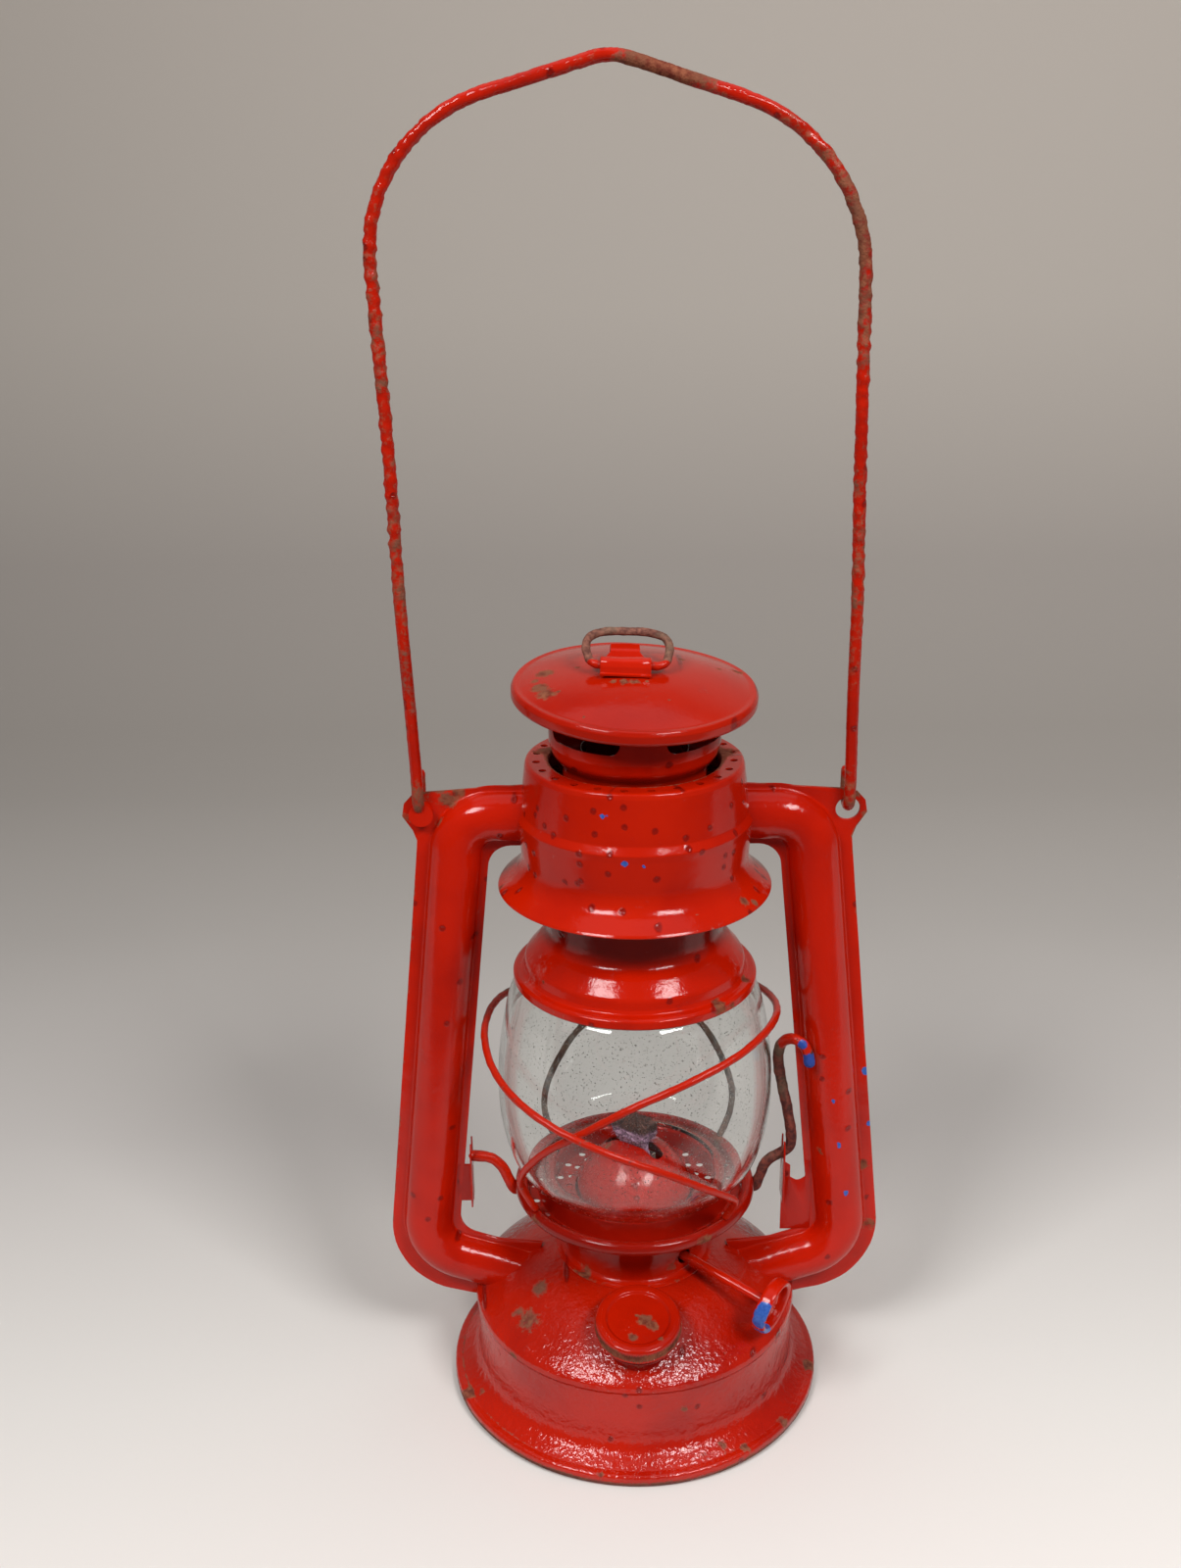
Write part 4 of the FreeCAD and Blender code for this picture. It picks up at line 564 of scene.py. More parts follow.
def makeTank():
    # Turned sheet: the rolled foot, the flare and creased wall, a dome that is part of a sphere and a flat land.
    # The filler's round well is cut along the filler's own axis.
    line = np.vstack([bentLine(tank["foot"], 14), domeLine(tank["domeFoot"], tank["domeTop"], 40), tank["land"]])
    piece = putMesh("tank_body", spun(sheetLoop(filled(line, 1.1), tank["wall"]), 288, tank["dent"], span=26, seed=4))
    cutAway(piece, rod("well", moved([(0, 0, -tank["wellDepth"]), (0, 0, 6)], fillerPlace), tank["wellReach"], 72))
    points = coordinates(piece)
    x, z = points[:, 0], points[:, 2]
    # the soot mark darkens the dome a little above the crease, and is painted shade under the rolled foot where it
    # stands on the floor
    under = (np.hypot(x, points[:, 1]) > 57.5) * (z < 2.2)
    mark(piece, worn=nearRims(points, tank["rims"]) * (0.95 + 0.77 * ramp(-x, 0, 60)),
         soot=0.12 * ramp(z, 31, 34) + 0.4 * under, rust=tank["rust"])
    settle(piece, tankEnamel, "frame", "tank_shell")


makeTank()
print("tank made")

# Filler neck, cap and seal, in the filler's own place: (radius, height, bend)

filler = {
    "ribs": 96, "ribDepth": 0.24,
    "neck": [(9.5, -17.5, 0), (10.0, -17.5, 0), (10.0, -8.2, 0.8), (12.0, -7.6, 0.5), (12.0, -6.9, 0.5),
             (10.9, -6.3, 0.5), (10.9, -5.9, 0.3), (12.15, -5.3, 0.4), (12.15, -4.7, 0.4), (10.9, -4.2, 0.4),
             (10.9, -3.9, 0.3), (12.1, -3.3, 0.4), (12.1, -2.7, 0.5), (9.5, -2.7, 0)],
    "cap": [(12.75, -4.9, 0), (13.3, -4.9, 0.35), (13.1, -1.3, 0.9), (12.6, -0.3, 1.3), (11.0, 0.0, 0.8),
            (10.0, -0.15, 0.5), (9.2, -0.85, 0.5), (5.0, -0.8, 3), (0.5, -0.55, 0), (0.02, -0.55, 0)],
    "under": [(0.02, -1.2, 0), (9.6, -1.4, 0.5), (12.3, -0.9, 0.8), (12.6, -2.0, 0.5), (12.75, -4.6, 0)],
    "seal": [(9.2, -1.3, 0), (11.7, -1.3, 0.3), (11.7, -2.1, 0.3), (9.2, -2.1, 0.3), (9.2, -1.3, 0)],
    "rust": [(1.8, -41.7, 47.4, 2.8, 1.1), (3.6, -43, 47, 2.2, 1.1), (5.0, -44.2, 46.8, 1.6, 1.0),
             (-1.8, -47.4, 45.8, 1.8, 1.0), (-0.5, -40.2, 48.0, 0.9, 1.0), (6.5, -48.6, 46, 1.2, 0.9)]}
# painted shade: the filler neck, down in the well under the cap, is a much darker red than the rest
shadedNeckEnamel = painted("shadedNeckEnamel", (0.28, 0.004, 0.002), (0.2, 0.004, 0.003), dust=0.3, peel=0.8, blister=0.1,
                     chip=0.2, bump=0.3)
fillerEnamel = painted("fillerCapEnamel", (0.43, 0.0088, 0.0008), (0.33, 0.0056, 0.0008), dust=0.3, peel=0.9,
                       blister=0.05, chip=0.2, bump=0.35)
sealRubber = skinned("blackRubber", rustSkin, {
    "Dark": (0.02, 0.018, 0.016, 1), "Light": (0.06, 0.05, 0.045, 1), "Paint Left": -0.5}, bump=0.2)


def makeFiller():
    # Turned outlines. The cap's band is pulled in by the size of a sine, which leaves ribs, and its top is uneven.
    piece = putMesh("filler_neck_pressed", moved(spun(filled(bentLine(filler["neck"], 10), 0.8), 120), fillerPlace))
    mark(piece, rust=[(0, -46, 38, 6, 0.6)])
    settle(piece, shadedNeckEnamel, "frame", "filler_neck")

    loop = np.vstack([filled(bentLine(filler["under"], 10), 0.9), filled(bentLine(filler["cap"], 16), 0.45)])
    grid = spun(loop, 384)
    r, z = loop[:, :1], loop[:, 1:]
    band = ramp(r, 12.95, 13.15) * ramp(z, -4.8, -4.5) * ramp(-z, 0.9, 1.4)
    ribs = np.abs(np.sin(around(384) * filler["ribs"] / 2)) * filler["ribDepth"]
    grid[..., :2] *= (1 - band * ribs / 13.2)[..., None]
    grid[..., 2] += ramp(-r, -9, -6) * (z > -1.0) * ripple(grid, 4.5, 21) * 0.16
    piece = putMesh("filler_cap_knurled", moved(grid, fillerPlace), closed=False)
    local = seenFrom(coordinates(piece), fillerPlace)
    out, up = np.hypot(local[:, 0], local[:, 1]), local[:, 2]
    worn = bell(up, -2.9, 1.5) * (out > 12.6) * 1.7 + 0.35 * np.exp(-((out - 12.4) ** 2 + up ** 2) / 0.8)
    mark(piece, worn=worn, rust=filler["rust"])
    settle(piece, fillerEnamel, "filler_cap", "filler_cap")

    piece = putMesh("filler_seal", moved(spun(bentLine(filler["seal"])[:-1], 64), fillerPlace))
    settle(piece, sealRubber, "filler_gasket", "filler_gasket")


makeFiller()
print("filler made")

# Burner collar, cone and wick

burner = {
    "slotLength": 20.0, "slotWidth": 5.4, "slotBend": 2.2, "bearing": 56.2, "collarWall": 0.5, "coneWall": 0.6,
    "holeRadius": 2.6, "holeStart": 14, "holeEnd": 34,
    "tufts": 190, "wickTop": 91.8, "wickHalfLong": 5.9, "wickHalfWide": 1.25,
    "shaftOffset": 5.0, "shaftHeight": 56.0, "shaftDrop": 10.4,
    "collar": [(25.2, 46.45, 0), (23.6, 46.45, 1.2), (22.5, 47.4, 1.0), (22.5, 65.9, 1.3), (20.2, 66.3, 0)],
    "coneFoot": [(19.4, 63.2, 0), (18.5, 63.3, 0.5), (18.5, 68.6, 0)],
    "coneBow": ((18.3, 69.8), (6.8, 83.6), 26), "coneTop": [(5.6, 84.3), (0.3, 84.4)]}
wickTurn = frameAt((0, 0, 0), ("Z", burner["bearing"] - 90))  # X along the shaft and the wick's width
shaftSide = math.radians(burner["bearing"])
shaftPlace = frameAt((-math.cos(shaftSide) * burner["shaftOffset"], -math.sin(shaftSide) * burner["shaftOffset"],
                      burner["shaftHeight"]),
                     ("Z", burner["bearing"] - 90), ("Y", 90 + burner["shaftDrop"]))  # Z runs out towards the knob
# painted shade: the cone inside the globe is a darker red than the paint outside it, for the dimmer light under the
# glass
coneEnamel = painted("heatedShadedEnamel", (0.33, 0.006, 0.001), (0.25, 0.004, 0.001), dust=0.1, peel=1.5, blister=0.12,
                     chip=0.15, bump=0.45, level=0.45)


def makeWickMaterial():
    # Plaited cotton that turns from dirty cream in the tube to purple-grey soot with pale specks of painted highlight,
    # and brown at the tip.
    made, tree, shader, v = newMaterial("charredWick")
    fine, grit = noise(v, 900, 4, 0.7), noise(v, 2600, 2)
    char = node(tree, "Attribute", {"attribute_name": "char"}).outputs["Fac"]
    soot = blendColour(stepUp(fine, 0.4, 0.62), (0.09, 0.035, 0.07, 1), (0.45, 0.26, 0.38, 1))
    # painted highlights: pale pink specks scattered over the soot
    soot = blendColour(stepUp(grit, 0.63, 0.7), soot, (0.6, 0.48, 0.52, 1))
    tip = blendColour(stepUp(grit, 0.42, 0.6), (0.012, 0.005, 0.005, 1), (0.11, 0.035, 0.022, 1))
    burnt = blendColour(stepUp(timesPlus(fine, 0.3, char), 1.2, 1.3), soot, tip)
    relief = node(tree, "Bump", Strength=0.9, Distance=0.0005, Height=timesPlus(grit, 0.6, fine))
    plug(shader, {"Base Color": blendColour(stepUp(char, 0.01, 0.12), (0.42, 0.34, 0.27, 1), burnt),
                  "Normal": relief.outputs["Normal"], "Roughness": 0.95})
    return made


wickCotton = makeWickMaterial()


def makeCollar():
    # Turned sheet with a round hole for the shaft.
    loop = sheetLoop(filled(bentLine(burner["collar"], 10), 1.2), burner["collarWall"])
    piece = putMesh("burner_gallery", spun(loop, 160, sag=0.08, span=14, seed=7))
    hole = moved([(0, 0, burner["holeStart"]), (0, 0, burner["holeEnd"])], shaftPlace)
    cutAway(piece, rod("shaftHole", hole, burner["holeRadius"], 24))
    mark(piece, worn=nearRims(coordinates(piece), [(22.5, 66, 1, 0.5), (25, 46.5, 1.2, 0.6)]),
         rust=[(-16, -17, 47, 4, 0.8), (12, -20, 50, 3, 0.7), (0, -22, 60, 3, 0.5)])
    settle(piece, enamel, "frame", "burner_collar")


def makeCone():
    # Turned shell: a short wall, an arc that leans in and a flat crown, with a rounded oblong slot for the wick.
    line = np.vstack([bentLine(burner["coneFoot"], 12), bowLine(*burner["coneBow"], 20), burner["coneTop"]])
    line = filled(line, 0.9)
    loop = np.vstack([line, innerLine(line, burner["coneWall"], 0.3)])
    piece = putMesh("burner_dome", spun(loop, 160, sag=0.1, span=12, seed=11), closed=False)
    x, y, bend = burner["slotLength"] / 2, burner["slotWidth"] / 2, burner["slotBend"]
    corner = bentLine([(-x, 0, 0), (-x, y, bend), (x, y, bend), (x, -y, bend), (-x, -y, bend), (-x, -0.01, 0)])
    knife = np.stack([np.hstack([corner, np.full((len(corner), 1), z)]) for z in (71.0, 96.0)])
    cutAway(piece, putMesh("slot", moved(knife, wickTurn), closed=False))
    mark(piece, rust=[(8, -4, 82, 2.0, 1.0), (-8, 0, 82, 2.0, 1.0), (3, -9, 80, 0.9, 1.0)])
    settle(piece, coneEnamel, "frame", "burner_cone")


def charred(z):
    # From 0 in the tube to 1.3 at the burnt tip.
    return np.clip((z - 71) / 17, 0, 1.3)


def makeWick():
    # A flat plait whose top has swollen and charred: a rounded oblong section that grows near its end.
    heights = np.concatenate([np.linspace(20, 78, 30), np.linspace(78.5, burner["wickTop"], 46)])
    angles = around(120)
    halfLong = burner["wickHalfLong"] - 1.5 * bell(heights, 84.0, 2.6) + ramp(heights, 82, 91) * 1.1
    halfWide = burner["wickHalfWide"] + ramp(heights, 82, 88) * 2.4
    x, y = [np.sign(wave) * np.abs(wave) ** 0.45 for wave in (np.cos(angles), np.sin(angles))]
    grid = np.stack([halfLong[:, None] * x, halfWide[:, None] * y, heights[:, None] + 0 * angles], 2)
    top = ramp(heights, 80, 86)[:, None]
    rough = ripple(grid, 1.1, 3) * 0.22 + ripple(grid, 0.5, 5) * 0.16 + ripple(grid, 3.5, 8) * 0.4
    grid[..., :2] *= 1 + (rough * top / 5)[..., None] * np.array([0.8, 2.0])
    grid[..., 2] += top * (ripple(grid, 3.0, 12) * 0.5 + ripple(grid, 0.9, 14) * 0.25) * (heights[:, None] > 88)
    end = grid[-1:]
    rings = [grid]
    for share, up in ((0.8, 0.5), (0.5, 0.8), (0.2, 0.9)):
        ring = end.mean(1, keepdims=True) + (end - end.mean(1, keepdims=True)) * share
        ring[..., 2] = burner["wickTop"] + up + ripple(ring, 1.4, 30) * 0.35
        rings.append(ring)
    piece = putMesh("wick_charred", moved(np.vstack(rings), wickTurn), closed=False, sharp=80)
    mark(piece, char=charred(coordinates(piece)[:, 2]))
    settle(piece, wickCotton, "wick", "wick")


def makeThreads():
    # Frayed ends: three-sided threads, each a line that droops with the square of its way out of the top edge.
    chance = np.random.default_rng(17)
    count = burner["tufts"]
    turn = chance.uniform(0, 2 * math.pi, count)
    roots = np.stack([6.6 * np.cos(turn), 3.1 * np.sin(turn), chance.uniform(86.5, 91.8, count)], 1)
    out = unit(np.stack([np.cos(turn) * 1.4, np.sin(turn), chance.uniform(-0.3, 1.2, count)], 1)
               + chance.normal(0, 0.35, (count, 3)))
    length = chance.uniform(0.8, 2.6, count)[:, None, None]
    share = np.linspace(0, 1, 5)[None, :, None]
    droop = chance.normal(0, 0.35, (count, 1, 3)) * share ** 2
    lines = roots[:, None] + (out[:, None] * share + droop) * length
    thick = 0.16 * (1 - 0.7 * share)
    sides = unit(np.cross(out, [0.3, 0.2, 0.93]))[:, None]
    others = np.cross(out[:, None], sides)
    threads = np.stack([lines + (sides * math.cos(a) + others * math.sin(a)) * thick for a in (0, 2.1, 4.2)], 2)
    vertices = moved(threads, wickTurn).reshape(-1, 3)
    base = (np.arange(count) * 15)[:, None]
    wall = np.array([[r * 3 + k, r * 3 + (k + 1) % 3, r * 3 + 3 + (k + 1) % 3, r * 3 + 3 + k]
                     for r in range(4) for k in range(3)])
    faces = (base[..., None] + wall).reshape(-1, 4).tolist()
    faces += (base + np.array([2, 1, 0])).tolist() + (base + np.array([12, 13, 14])).tolist()
    piece = putFaces("wick_threads", vertices, faces, 80)
    mark(piece, char=charred(vertices[:, 2]) + 0.05)
    settle(piece, wickCotton, "wick")


makeCollar()
makeCone()
makeWick()
makeThreads()
print("burner made")

# Wick knob and shaft

knob = {
    "reach": 54.0, "spokes": 3, "webTurn": 0.4, "webWall": 0.6, "webHub": 3.2, "webSpread": 3.9, "webRise": 1.9,
    "shaft": 1.6, "shaftStart": -8.0, "shaftEnd": 55.2,
    "ring": [(6.9, -1.6, 0), (8.4, -2.3, 0.6), (8.75, -1.2, 0.9), (8.75, 1.2, 0.9), (8.4, 2.3, 0.6), (6.9, 1.9, 0.6),
             (6.7, 0.8, 0.6), (6.7, -1.0, 0.6), (6.9, -1.6, 0)],
    "blueLocal": [(5.5, -6.2, 0.8), (7.5, -3.4, 0.8)],
    "blue": [(38.3, -40.8, 50.4, 2.6, 1.0), (36.4, -41, 45.4, 2.6, 1.0), (37, -41, 48, 2.4, 1.0)]}


def makeKnob():
    # A rolled ring, drawn deeper than it is thick, turned about the shaft.
    place = shaftPlace.copy()
    place[:3, 3] = moved((0, 0, knob["reach"]), shaftPlace)
    section = filled(bentLine(knob["ring"], 10)[:-1], 0.5)
    piece = putMesh("knob_ring", moved(spun(section, 96, sag=0.12, span=6, seed=3), place))
    mark(piece, blue=[tuple(spot) + (2.6, 1.0) for spot in moved(knob["blueLocal"], place)] + knob["blue"],
         rust=[tuple(moved((8.0, 3.5, 0.5), place)) + (1.6, 0.7)])
    settle(piece, enamel, "wick_knob", "wick_knob")

    # the web: a sheet pressed into spokes by a cosine, high in the middle, its edges tucked into the ring
    angles = around(120)
    shares = np.linspace(0.16, 1.0, 20)[:, None]
    lobe = 0.5 + 0.5 * np.cos(knob["spokes"] * (angles - knob["webTurn"]))
    reach = (knob["webHub"] + knob["webSpread"] * lobe ** 0.6) * shares
    rise = knob["webRise"] * (1 - shares) ** 1.2 + 0.5 * lobe * shares - 0.4
    top = np.stack([reach * np.cos(angles), reach * np.sin(angles), rise + 0 * angles], 2)
    low = top - (0, 0, knob["webWall"])
    settle(putMesh("knob_web", moved(np.vstack([top, low[::-1]]), place)), enamel, "wick_knob")


def makeShaft():
    # A round bar along the shaft's own Z: a circle carried along it, whose radius closes to round ends.
    path = filled(moved([(0, 0, knob["shaftStart"]), (0, 0, knob["shaftEnd"])], shaftPlace), 1.2)
    grid = swept(path, tipped(path, knob["shaft"]), 18, bumps=0.05, span=3, seed=6)
    piece = putMesh("wick_spindle", grid, closed=False)
    mark(piece, rust=[(18, -16, 51, 5, 0.5), (5, -9, 54, 6, 0.8)])
    settle(piece, enamel, "wick_knob", "wick_shaft")


makeKnob()
makeShaft()
print("knob made")

# Side tubes, drawn for the right one: (x, height, bend)

tube = {
    "halfWidth": 7.65, "depth": 7.5, "sheet": 0.5, "earHole": 3.6, "earX": 63, "earHeight": 197.3,
    "centre": [(30, 196, 0), (52.2, 196, 13), (68.2, 45.16, 14.4), (33.96, 34.04, 0)],
    "outer": [(26, 206.0, 0), (61.5, 203.6, 5), (66.4, 202.4, 3), (69.2, 198.4, 3), (68.6, 194.4, 4),
              (64.5, 190.2, 8), (81.0, 33.2, 25.5), (26, 19.5, 0)],
    "inner": [(26, 186.35, 0), (43.2, 186.35, 7), (57.0, 52.0, 7), (44, 47.4, 14), (26, 45.4, 0)],
    "rust": [(-55.1, -0.5, 200.9, 3.2, 1.1), (-57.7, -1.7, 194.8, 2.2, 1.0), (-51.7, -0.5, 203.5, 2.6, 1.1),
             (-63, 0, 203, 3, 1.0), (-68, 0, 196, 2, 1.0), (63, 0, 203, 3, 1.0), (68, 0, 197, 2, 1.0),
             (73.3, -0.5, 75, 2.4, 1.1), (58.5, -5.4, 82.9, 1.5, 1.0), (76, 0, 52, 3, 1.0), (-70, 0, 60, 3, 0.9)],
    "blue": [(61.8, -7.5, 102.1, 0.9, 0.95), (64.2, -7.7, 86.4, 1.1, 0.95), (67.2, -7.5, 68.6, 1.2, 0.95),
             (72.6, -0.5, 108.8, 1.5, 1.0), (74.6, -0.5, 90, 1.0, 0.95), (-66, -1, 189.5, 1.2, 0.85)]}
tubeEnamel = painted("tubeEnamel", (0.51, 0.0096, 0.0006), (0.38, 0.0064, 0.0008), dust=0.35, peel=0.9,
                     blister=0.07, chip=0.14, bump=0.35)


def reachOf(starts, ways, outline):
    # How far each ray runs from its start to the outline: both lines solved as whole arrays.
    a, b = outline[:-1], outline[1:]
    run = b - a
    cross = ways[:, None, 0] * run[None, :, 1] - ways[:, None, 1] * run[None, :, 0]
    cross = np.where(abs(cross) < 1e-9, 1e-9, cross)
    gap = a[None] - starts[:, None]
    t = (gap[..., 0] * run[None, :, 1] - gap[..., 1] * run[None, :, 0]) / cross
    u = (gap[..., 0] * ways[:, None, 1] - gap[..., 1] * ways[:, None, 0]) / cross
    return np.where((u >= -1e-6) & (u <= 1 + 1e-6) & (t > 0), t, 1e9).min(1)


def makeTubeHalf(name, cadNode, side, front):
    # A pressed half: across the centreline run the outer flange, the half oval and the inner flange.
    # n is the distance from the centreline, y the distance from the seam.
    w, d, sheet = tube["halfWidth"], tube["depth"], tube["sheet"]
    line = evenly(filled(bentLine(tube["centre"], 16), 1.4), 1.4)
    out = leftOf(line)
    outer = bentLine(tube["outer"], 16)
    far = np.clip(reachOf(line, out, outer), 9.0, 22)[:, None]
    near = np.clip(reachOf(line, -out, bentLine(tube["inner"], 16)), 9.0, 20)[:, None]
    angles = np.radians(np.linspace(14, 166, 26))
    oval = [(w * math.cos(a), sheet + (d - sheet) * math.sin(a), 0) for a in angles]
    middle = bentLine([(w + 1.6, sheet, 0), (w + 0.05, sheet, 0.9)] + oval
                      + [(-w - 0.05, sheet, 0.9), (-w - 1.3, sheet, 0)], 10)
    count = len(line)
    n = np.hstack([(w + 1.6) + (far - w - 1.6) * np.linspace(1, 0, 6), np.tile(middle[1:-1, 0], (count, 1)),
                   -(w + 1.3) - (near - w - 1.3) * np.linspace(0, 1, 5)])
    y = np.hstack([np.full((count, 6), sheet), np.tile(middle[1:-1, 1], (count, 1)), np.full((count, 5), sheet)])
    y[:, 0], y[:, -1] = 0.35, 0.35
    n = np.hstack([n, n[:, -1:] + 0.05, n[:, :1] - 0.05])
    y = np.hstack([y, np.full((count, 2), 0.02)])
    sign = -1 if front else 1
    grid = np.stack([side * (line[:, :1] + out[:, :1] * n), sign * y, line[:, 1:] + out[:, 1:] * n], 2)
    seed = 40 + (1 if front else 0) + (2 if side > 0 else 0)
    grid[..., 1] += sign * np.clip(y / d, 0, 1) * ripple(grid, 22, seed) * 0.22
    grid[..., 1] += (ripple(grid, 16, seed + 5) * 0.25 + ripple(grid, 5, seed + 6) * 0.1) * ramp(abs(n), w + 1, w + 4)
    piece = putMesh(name, grid, closed=False, sharp=40)
    hole = np.array([[tube["earX"] * side, y, tube["earHeight"]] for y in (-3.3, 3.7)])
    cutAway(piece, rod("earHole", hole, tube["earHole"], 36, 9))
    points = coordinates(piece)
    ways = np.tile([[1.0, 0.12]], (len(points), 1))
    outside = np.clip(reachOf(points[:, [0, 2]] * (side, 1), ways, outer), 0, 9)
    edge = np.clip(1 - np.abs(points[:, 1]) / 0.9, 0, 1)
    mark(piece, worn=edge * bell(outside, 0, 0.9) * 1.25, rust=tube["rust"], blue=tube["blue"])
    settle(piece, tubeEnamel, "frame", cadNode)


for side, word in ((1, "right"), (-1, "left")):
    makeTubeHalf(word + "_tube_front_half", word + "_tube_front", side, True)
    makeTubeHalf(word + "_tube_back_half", word + "_tube_rear", side, False)
print("tubes made")

# Hood

hood = {
    "wall": 0.55, "vents": 24, "ventRadius": 1.12, "ventCircle": 28.9, "ventTurn": 7.5, "top": 213.6,
    "outline": [(40.7, 174.3, 0), (41.1, 174.6, 0.4), (40.6, 175.3, 0.8), (33.6, 181.0, 9.5), (34.7, 194.4, 0.8),
                (35.0, 196.6, 1.0), (33.7, 198.9, 1.2), (32.4, 212.2, 0.6), (31.9, 213.9, 2.4), (25.6, 213.7, 0.5),
                (25.2, 213.0, 0)],
    "rims": [(25.3, 213.4, 1.3, 1.25), (41, 174.6, 0.8, 0.4), (34.9, 196.9, 0.5, 0.3)],
    "haze": [(-37.5, -4, 177.4, 5, 1.2), (39, -8, 175, 4, 0.8), (-34, -6, 184, 5, 0.7), (34, -8, 186, 5, 0.8)],
    "rust": [(30.7, -22, 177.2, 2.0, 1.1), (34, -20, 175.6, 1.6, 1.0), (16.7, -33, 177.9, 0.8, 1.1),
             (-39.5, -6, 175.5, 1.4, 1.0), (26, 4, 213.6, 6, 0.95), (-26, 6, 213.6, 5, 0.9), (0, 28, 213.7, 6, 0.9),
             (30, 20, 190, 6, 0.8), (-14, 33, 200, 7, 0.85)],
    "blue": [(-9.9, -31.2, 207.4, 0.9, 0.9), (-8.6, -31.8, 207.9, 0.5, 0.9), (-3.8, -34.6, 194.5, 1.1, 0.95),
             (1.6, -34.8, 193.8, 0.6, 0.95), (-24.6, -5, 211.5, 2.2, 1.0), (-24.2, -8.5, 210.8, 1.6, 0.95),
             (24.5, -3.5, 210.8, 1.9, 1.0), (20.5, 25.5, 187, 1.2, 0.9)]}
hoodEnamel = painted("blisteredEnamel", (0.49, 0.0105, 0.0005), (0.41, 0.007, 0.0006), dust=0.35, peel=0.6,
                     blister=0.27, chip=0.14, bump=0.35, turned=0.034)


def makeHood():
    # Turned sheet with a circle of small vents through its top, square to it.
    loop = sheetLoop(filled(bentLine(hood["outline"], 14), 0.8), hood["wall"])
    piece = putMesh("hood_shell", spun(loop, 288, sag=0.14, span=20, seed=31))
    turn = np.arange(hood["vents"]) * 360 / hood["vents"] + hood["ventTurn"]
    spots, axes = bearing(turn, hood["ventCircle"], hood["top"]), bearing(turn, 0.18, 1.0)
    cutAway(piece, pegs("vents", spots, axes, hood["ventRadius"], 5, 16))
    mark(piece, worn=nearRims(coordinates(piece), hood["rims"]), haze=hood["haze"], rust=hood["rust"],
         blue=hood["blue"])
    settle(piece, hoodEnamel, "frame", "hood")


makeHood()
print("hood made")

# Chimney: bell and inner tube

chimney = {
    "wall": 0.5,
    "bell": [(35.8, 143.9, 0), (36.6, 143.6, 0.4), (37.2, 144.2, 0.7), (37.15, 146.4, 0.9), (36.2, 147.1, 0.7),
             (34.4, 147.2, 0.8), (33.8, 148.4, 0.8), (33.4, 151.3, 3), (29.5, 155.9, 6), (26.2, 158.6, 5),
             (26.0, 172, 0)],
    "tube": [(25.2, 160.3, 0), (16.4, 160.4, 0.9), (16.0, 161.4, 0.6), (16.0, 217, 0)],
    "rims": [(37, 145.0, 1.6, 0.5), (34.2, 147.6, 0.7, 0.35), (26, 172, 1, 0.6)],
    "haze": [(-30, -14, 153, 7, 0.9), (31, -12, 152, 6, 0.7)],
    "rust": [(32.7, -12.3, 147.1, 2.2, 1.1), (24, -27.1, 147.1, 2.6, 1.1), (27, -24, 145.5, 1.6, 1.0),
             (-27.5, -19.1, 150.3, 1.1, 1.0), (20, 30, 146, 6, 0.8)]}


def makeBell():
    # Two turned sheets: the bell over the glass, and the tube that stands in it on a flat foot.
    loop = sheetLoop(filled(bentLine(chimney["bell"], 14), 1.0), chimney["wall"])
    piece = putMesh("chimney_bell", spun(loop, 256, sag=0.13, span=16, seed=61))
    points = coordinates(piece)
    # painted shade: the soot mark darkens the bell's neck where the hood's lip overhangs it
    mark(piece, worn=nearRims(points, chimney["rims"]), soot=0.45 * ramp(points[:, 2], 157, 162),
         haze=chimney["haze"], rust=chimney["rust"])
    settle(piece, enamel, "chimney", "bell")

    loop = sheetLoop(filled(bentLine(chimney["tube"], 10), 2.0), chimney["wall"])
    settle(putMesh("inner_chimney", spun(loop, 96, sag=0.06, span=18, seed=64)), darkEnamel, "chimney", "chimney_tube")


# Vented tent

capPlace = frameAt((0, 0, 235.75), ("Y", 2.3), ("X", 5.1))
tent = {
    "radius": 25.1, "top": 239.0, "foot": 222.4, "windows": 4, "window": 60.0, "turn": 4.0, "underCap": 2.2,
    "sheet": 0.5, "knifeTop": 246, "knifeReach": (18, 32),
    "neck": [(16.2, 205.2, 0), (20.4, 205.2, 0.9), (21.0, 206.4, 0.8), (21.0, 212.0, 5), (24.2, 216.2, 5)],
    "blue": [(-9.7, -18.6, 214.3, 1.1, 0.85), (-14.5, -15.2, 214.8, 1.3, 0.85), (-19, -9, 215, 1.4, 0.85),
             (-4.5, -20.4, 213.8, 0.7, 0.85), (15.5, -14, 215, 1.0, 0.8)]}
# painted light: the tent's red is brighter than the other reds, to light the wall that the cap shades
tentEnamel = painted("tentEnamel", (0.6, 0.012, 0.0006), (0.45, 0.008, 0.001), dust=0.15, peel=0.8, blister=0.1,
                     chip=0.12, bump=0.3, level=0.15)


